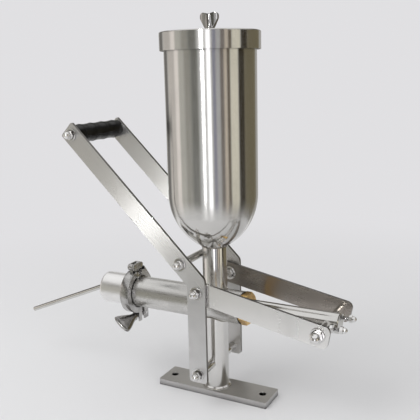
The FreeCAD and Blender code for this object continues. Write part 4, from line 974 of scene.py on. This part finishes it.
@dataclass
class Pump(Assembly):
    """Pump tube, front cap, nozzle, clamp and brass gland."""

    nut_foot: Point = (JOINT_X, -9.0 * MM, 102.9 * MM)
    nut_turn_deg: float = 38.0

    def build(self) -> None:
        """Dress the pump and put the trumpet nut on the clamp."""
        finishes = self.finishes
        self.dress(finishes.pump, "pump_cylinder")
        self.dress(finishes.cap, "nozzle_cap")
        self.dress(finishes.nozzle, "nozzle_tube")
        self.dress(finishes.rubber, "ferrule_gasket", "gland_washer", "rod_seal", "piston_rings")
        self.dress(finishes.brass, "gland_bush")
        self.dress(finishes.piston, "piston_head")
        self.dress(finishes.cast, "clamp_front_half", "clamp_rear_half", "clamp_hinge_link")
        self.dress(finishes.fastener, "clamp_hinge_pins", "clamp_bolt_pin", "clamp_swing_bolt")
        self.soften(1.0 * MM, "clamp_front_half", "clamp_rear_half")
        self.soften(0.6 * MM, "clamp_hinge_link")
        self.soften(0.5 * MM, "gland_bush")
        nut = TrumpetNut().shape(self.nut_foot, math.radians(self.nut_turn_deg))
        trumpet = make_object("clamp_trumpet_nut", [nut], smooth_deg=40.0)
        self.add(trumpet, "clamp_nut", "cast_steel", finishes.wing, "clamp_wing_nut")


@dataclass
class Crosshead(Assembly):
    """Piston rod, crossbar, stroke screws and link bars; the screws' fields are places along X and Y."""

    nut_foot: float = 58.08 * MM
    screw_offset: float = 23.0 * MM
    screw_start: float = 151.5 * MM
    screw_length: float = 57.0 * MM
    head_foot: float = 206.0 * MM
    lock_foot: float = 191.58 * MM

    def build(self) -> None:
        """Dress the moving end of the pump and the link bars, and add their nuts and screws."""
        finishes = self.finishes
        self.dress(finishes.turned, "piston_rod", "crossbar", "piston_nut")
        self.dress(finishes.fastener, "crossbar_washers", "link_bolts")
        self.dress(finishes.bar, "link_bar_front")
        self.dress(finishes.shaded_back_bar, "link_bar_back")
        self.soften(0.5 * MM, "link_bar_front", "link_bar_back")
        self.soften(0.35 * MM, "crossbar_washers", "link_bolts")
        nuts = [
            CROSSBAR_NUT.shape(axis, (CROSSHEAD_X, side * self.nut_foot, PUMP_HEIGHT), turn=0.2)
            for side, axis in SIDES
        ]
        crossbar_nuts = make_object("crossbar_domed_nuts", nuts)
        self.add(crossbar_nuts, "piston", "zinc_fasteners", finishes.fastener, "crossbar_acorn_nuts")
        self.add_stroke_screws()

    def add_stroke_screws(self) -> None:
        """Add both threaded screws, then their lock nuts and washers as one piece."""
        locks = []
        for side, name in ((-1, "front"), (1, "back")):
            y = side * self.screw_offset
            start = (self.screw_start, y, PUMP_HEIGHT)
            shank = SCREW_THREAD.shape(self.screw_length, Axis.PLUS_X, start)
            head = SCREW_HEAD.shape(Axis.PLUS_X, (self.head_foot, y, PUMP_HEIGHT), turn=0.25 * side)
            screw = make_object(f"stroke_screw_{name}_threaded", [shank, head])
            self.add(screw, "piston", "zinc_fasteners", self.finishes.fastener, f"stroke_screw_{name}")
            lock_foot = (self.lock_foot, y, PUMP_HEIGHT)
            locks.append(LOCK_NUT.shape(Axis.PLUS_X, lock_foot, turn=0.4 * side))
            washer_foot = (self.lock_foot + LOCK_NUT.height, y, PUMP_HEIGHT)
            locks.append(LOCK_WASHER.shape(Axis.PLUS_X, washer_foot))
        lock_nuts = make_object("stroke_screw_lock_nuts", locks)
        self.add(lock_nuts, "piston", "zinc_fasteners", self.finishes.fastener, "stroke_lock_nuts")


@dataclass
class Lever(Assembly):
    """Lever plates, grip, rods and fasteners; crank, stop and handle are (x, z) of the plates' holes."""

    crank: tuple[float, float] = (0.0, 0.182)
    stop: tuple[float, float] = (-0.02555, 0.22370)
    handle: tuple[float, float] = (-0.21503, 0.41055)
    nut_foot: float = 63.6 * MM
    rib_spots: tuple[float, ...] = (-41.0 * MM, -12.5 * MM, 16.0 * MM, 44.5 * MM)

    def build(self) -> None:
        """Dress the lever, and add its domed nuts and the ribs of its grip."""
        finishes = self.finishes
        self.dress(finishes.arm, "lever_plate_front", "lever_plate_back")
        self.dress(finishes.turned, "cross_rod", "grip_rod")
        self.dress(finishes.fastener, "lever_washers")
        self.dress(finishes.grip, "grip")
        self.soften(0.5 * MM, "lever_plate_front", "lever_plate_back")
        self.soften(0.35 * MM, "lever_washers")
        nuts = [
            LEVER_NUT.shape(axis, (x, side * self.nut_foot, z), turn=0.3 + 3.0 * z)
            for side, axis in SIDES
            for x, z in (self.crank, self.stop, self.handle)
        ]
        lever_nuts = make_object("lever_domed_nuts", nuts)
        self.add(lever_nuts, "lever", "zinc_fasteners", finishes.fastener, "lever_acorn_nuts")
        x, z = self.handle
        ribs = [
            GRIP_RIB.shape(Axis.PLUS_Y, (x, spot - GRIP_RIB.thickness / 2, z)) for spot in self.rib_spots
        ]
        self.add(make_object("grip_ribs", ribs), "grip", "black_plastic", finishes.grip)


# Camera, floor and light.


@dataclass(frozen=True)
class PhotoCamera:
    """The photograph's viewpoint: bearing, dip and roll are in degrees."""

    place: Point = (0.44596, -0.84241, 0.49902)
    bearing: float = 28.23
    dip: float = 12.03
    roll: float = -1.34
    focal_pixels: float = 642.0

    def build(self) -> None:
        """Set up the scene's camera from bearing, dip and roll."""
        bearing, dip, roll = (math.radians(a) for a in (self.bearing, self.dip, self.roll))
        level_part = math.cos(dip)
        ahead = Vector((-math.sin(bearing) * level_part, math.cos(bearing) * level_part, -math.sin(dip)))
        level = Vector((math.cos(bearing), math.sin(bearing), 0.0))
        upright = level.cross(ahead)
        right = level * math.cos(roll) + upright * math.sin(roll)
        up = upright * math.cos(roll) - level * math.sin(roll)
        data = bpy.data.cameras.new("photo_camera")
        data.sensor_width = 36.0
        data.lens = self.focal_pixels / PHOTO_PIXELS * data.sensor_width
        data.clip_start = 0.01
        camera = bpy.data.objects.new("photo_camera", data)
        turn = Matrix((right, up, -ahead)).transposed().to_4x4()
        camera.matrix_world = Matrix.Translation(self.place) @ turn
        bpy.context.scene.collection.objects.link(camera)
        bpy.context.scene.camera = camera


@dataclass(frozen=True)
class Card:
    """One upright panel of the studio, seen only in the metal.

    bearing and width are in degrees round the machine from the camera, tone is the panel's colour,
    ground the colour of the floor in front of it and soft the width of its blurred edge in degrees.
    """

    name: str
    bearing: float
    width: float
    tone: Colour
    ground: Colour = (0.90, 0.90, 0.90)
    soft: float = 4.0


STUDIO_CARDS = (
    Card("doorway", -149.0, 26.0, (0.20, 0.19, 0.18), soft=10.0),
    Card("left wall", -118.0, 30.0, (0.66, 0.62, 0.58), soft=14.0),
    Card("left window", -96.0, 15.0, (1.00, 0.93, 0.88), soft=7.0),
    Card("left screen", -74.0, 30.0, (0.54, 0.53, 0.48), soft=5.0),
    Card("corner side", -62.0, 20.0, (0.33, 0.32, 0.28), soft=10.0),
    Card("grey corner", -44.5, 20.0, (0.14, 0.14, 0.12), (0.80, 0.80, 0.80), 10.0),
    Card("box frame", -24.5, 15.0, (0.50, 0.51, 0.52), (0.85, 0.85, 0.85)),
    Card("soft box", -9.0, 9.0, (2.4, 2.4, 2.5), (1.0, 1.0, 1.0), 3.0),
    Card("gap by the box", 4.5, 9.0, (0.25, 0.25, 0.33), (0.70, 0.70, 0.72)),
    Card("pale post", 13.5, 10.0, (0.50, 0.50, 0.50), (0.70, 0.70, 0.70)),
    Card("dark screen", 23.5, 10.0, (0.18, 0.15, 0.13), (0.45, 0.44, 0.42)),
    Card("warm edge", 32.5, 8.0, (0.66, 0.57, 0.46), (0.42, 0.40, 0.37), 3.0),
    Card("narrow gap", 40.5, 8.0, (0.09, 0.06, 0.03), (0.42, 0.40, 0.37), 3.0),
    Card("right screen", 55.5, 22.0, (0.84, 0.80, 0.67), (0.40, 0.38, 0.35)),
    Card("dark door", 77.5, 20.0, (0.030, 0.022, 0.010), (0.20, 0.19, 0.17)),
    Card("dark wall", 113.0, 54.0, (0.19, 0.165, 0.105), (0.24, 0.23, 0.21), 6.0),
    Card("far right wall", 157.0, 38.0, (0.42, 0.41, 0.39), soft=12.0),
)


class LampUse(Enum):
    """What a lamp is for: lighting the room, or a glint in the metal alone."""

    ROOM = "room"
    GLINT = "glint"


@dataclass
class Studio:
    """Pale floor, soft lamps and a plain room of upright cards for the metal to reflect.

    camera_bearing is the camera's direction from the machine, in degrees. horizon, cornice_edge and
    ceiling_edge are where one part of the room fades into the next, as the Z of a direction.
    table_edge and paper_fade are distances from the middle of the floor, in metres.
    """

    camera_bearing: float = -58.2
    backdrop: Colour = (0.750, 0.745, 0.762)
    paper: Colour = (0.74, 0.74, 0.75)
    walls: Colour = (0.62, 0.62, 0.60)
    ground: Colour = (0.80, 0.80, 0.80)
    cornice: Colour = (0.16, 0.15, 0.14)
    ceiling: Colour = (0.92, 0.92, 0.92)
    soft_light: float = 0.75
    horizon: tuple[float, float] = (-0.46, -0.34)
    cornice_edge: tuple[float, float] = (0.30, 0.36)
    ceiling_edge: tuple[float, float] = (0.52, 0.62)
    table_edge: tuple[float, float] = (0.42, 0.57)
    paper_fade: tuple[float, float] = (0.35, 1.3)
    floor_radius: float = 6.0

    def room(self) -> None:
        """Build the world: a plain backdrop for the camera, cards by bearing for reflections."""
        world = bpy.data.worlds.new("studio_room")
        bpy.context.scene.world = world
        world.use_nodes = True
        graph = Graph(world.node_tree)
        graph.tree.nodes.clear()
        ahead = graph.split(graph.coordinates("Generated"))
        bearing = graph.math("MULTIPLY", graph.math("ARCTAN2", ahead["Y"], ahead["X"]), 180.0 / math.pi)
        bearing = graph.math("SUBTRACT", bearing, self.camera_bearing)
        walls, ground = self.walls, self.ground
        for card in STUDIO_CARDS:
            gap = graph.math("SUBTRACT", bearing, card.bearing)
            gap = graph.math("ABSOLUTE", graph.math("WRAP", gap, 180.0, -180.0))
            near, far = (card.width - card.soft) / 2, (card.width + card.soft) / 2
            share = graph.spread(gap, near, far, 1.0, 0.0)
            walls = graph.blend_colours(share, walls, card.tone)
            ground = graph.blend_colours(share, ground, card.ground)
        seen = ground
        for edge, tone in (
            (self.horizon, walls),
            (self.cornice_edge, self.cornice),
            (self.ceiling_edge, self.ceiling),
        ):
            seen = graph.blend_colours(graph.spread(ahead["Z"], *edge), seen, tone)
        white = (1.0, 1.0, 1.0)
        soft = graph.add("ShaderNodeBackground", {"Color": white, "Strength": self.soft_light})
        mirrored = graph.add("ShaderNodeBackground", {"Color": seen})
        shown = graph.add("ShaderNodeBackground", {"Color": self.backdrop})
        ray = graph.add("ShaderNodeLightPath").outputs
        sharp = graph.math("MAXIMUM", ray["Is Glossy Ray"], ray["Is Transmission Ray"])
        metal = graph.mix_shaders(sharp, soft.outputs[0], mirrored.outputs[0])
        whole = graph.mix_shaders(ray["Is Camera Ray"], metal, shown.outputs[0])
        graph.add("ShaderNodeOutputWorld", {"Surface": whole})

    def floor(self) -> None:
        """A pale floor that keeps the machine's shadow and fades into the backdrop."""
        angle = round_angles(64)
        rim = self.floor_radius * np.stack([np.cos(angle), np.sin(angle), np.zeros_like(angle)], axis=-1)
        mesh = bpy.data.meshes.new("studio_floor")
        mesh.from_pydata(rim.tolist(), [], [list(range(len(rim)))])
        obj = bpy.data.objects.new("studio_floor", mesh)
        bpy.context.scene.collection.objects.link(obj)
        material, graph, shader = new_finish("floor_paper", metallic=0.0)
        output = shader.outputs["BSDF"].links[0].to_node
        graph.fill(shader, {"Base Color": self.paper, "Roughness": 0.9, "Specular IOR Level": 0.1})
        glow = graph.add("ShaderNodeEmission", {"Color": self.backdrop})
        distance = graph.vector_math("LENGTH", {0: graph.coordinates()}).outputs["Value"]
        faded = graph.spread(distance, *self.paper_fade)
        seen = graph.mix_shaders(faded, shader.outputs["BSDF"], glow.outputs[0])
        away = graph.spread(distance, *self.table_edge)
        ray = graph.add("ShaderNodeLightPath").outputs
        clear = graph.add("ShaderNodeBsdfTransparent")
        open_share = graph.math("MULTIPLY", away, ray["Is Glossy Ray"])
        graph.fill(output, {"Surface": graph.mix_shaders(open_share, seen, clear.outputs[0])})
        mesh.materials.append(material)

    @staticmethod
    def lamp(name: str, place: Point, target: Point, size: float, power: float, use: LampUse) -> None:
        """One square area lamp aimed at a point.

        Args:
            name: name of the lamp.
            place: where it stands, in metres.
            target: the point it is aimed at.
            size: its side, in metres.
            power: its power, in watts.
            use: whether it lights the matt surfaces or only glints in the metal.
        """
        data = bpy.data.lights.new(name, "AREA")
        data.size = size
        data.energy = power
        lamp = bpy.data.objects.new(name, data)
        lamp.location = place
        lamp.rotation_euler = (Vector(target) - Vector(place)).to_track_quat("-Z", "Y").to_euler()
        lamp.visible_glossy = use is LampUse.GLINT
        lamp.visible_diffuse = use is LampUse.ROOM
        bpy.context.scene.collection.objects.link(lamp)

    def build(self) -> None:
        """Build the whole studio."""
        middle = (0.0, 0.0, 0.25)
        self.room()
        self.floor()
        self.lamp("high_soft_box", (-0.9, -1.0, 1.9), middle, size=1.4, power=16.0, use=LampUse.ROOM)
        self.lamp("fill", (1.4, -0.9, 1.2), middle, size=1.2, power=5.0, use=LampUse.ROOM)
        bend = (-0.09, -0.06, 0.28)
        glare = (0.210, -1.508, 1.043)
        self.lamp("arm_glare", glare, bend, size=0.08, power=13.0, use=LampUse.GLINT)


def clear_startup() -> None:
    """Remove Blender's own start-up objects."""
    for obj in list(bpy.data.objects):
        bpy.data.objects.remove(obj, do_unlink=True)


def main() -> None:
    """Load the frame, dress each sub-assembly and light the scene."""
    logging.basicConfig(level=logging.INFO, format="%(name)s: %(message)s")
    clear_startup()
    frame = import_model()
    bpy.context.scene.view_settings.view_transform = "Standard"
    finishes = Finishes()
    for assembly in (Stand, Hopper, Pump, Crosshead, Lever):
        assembly(frame, finishes).build()
        log.info("%s is dressed", assembly.__name__)
    PhotoCamera().build()
    Studio().build()


if __name__ == "__main__":
    main()
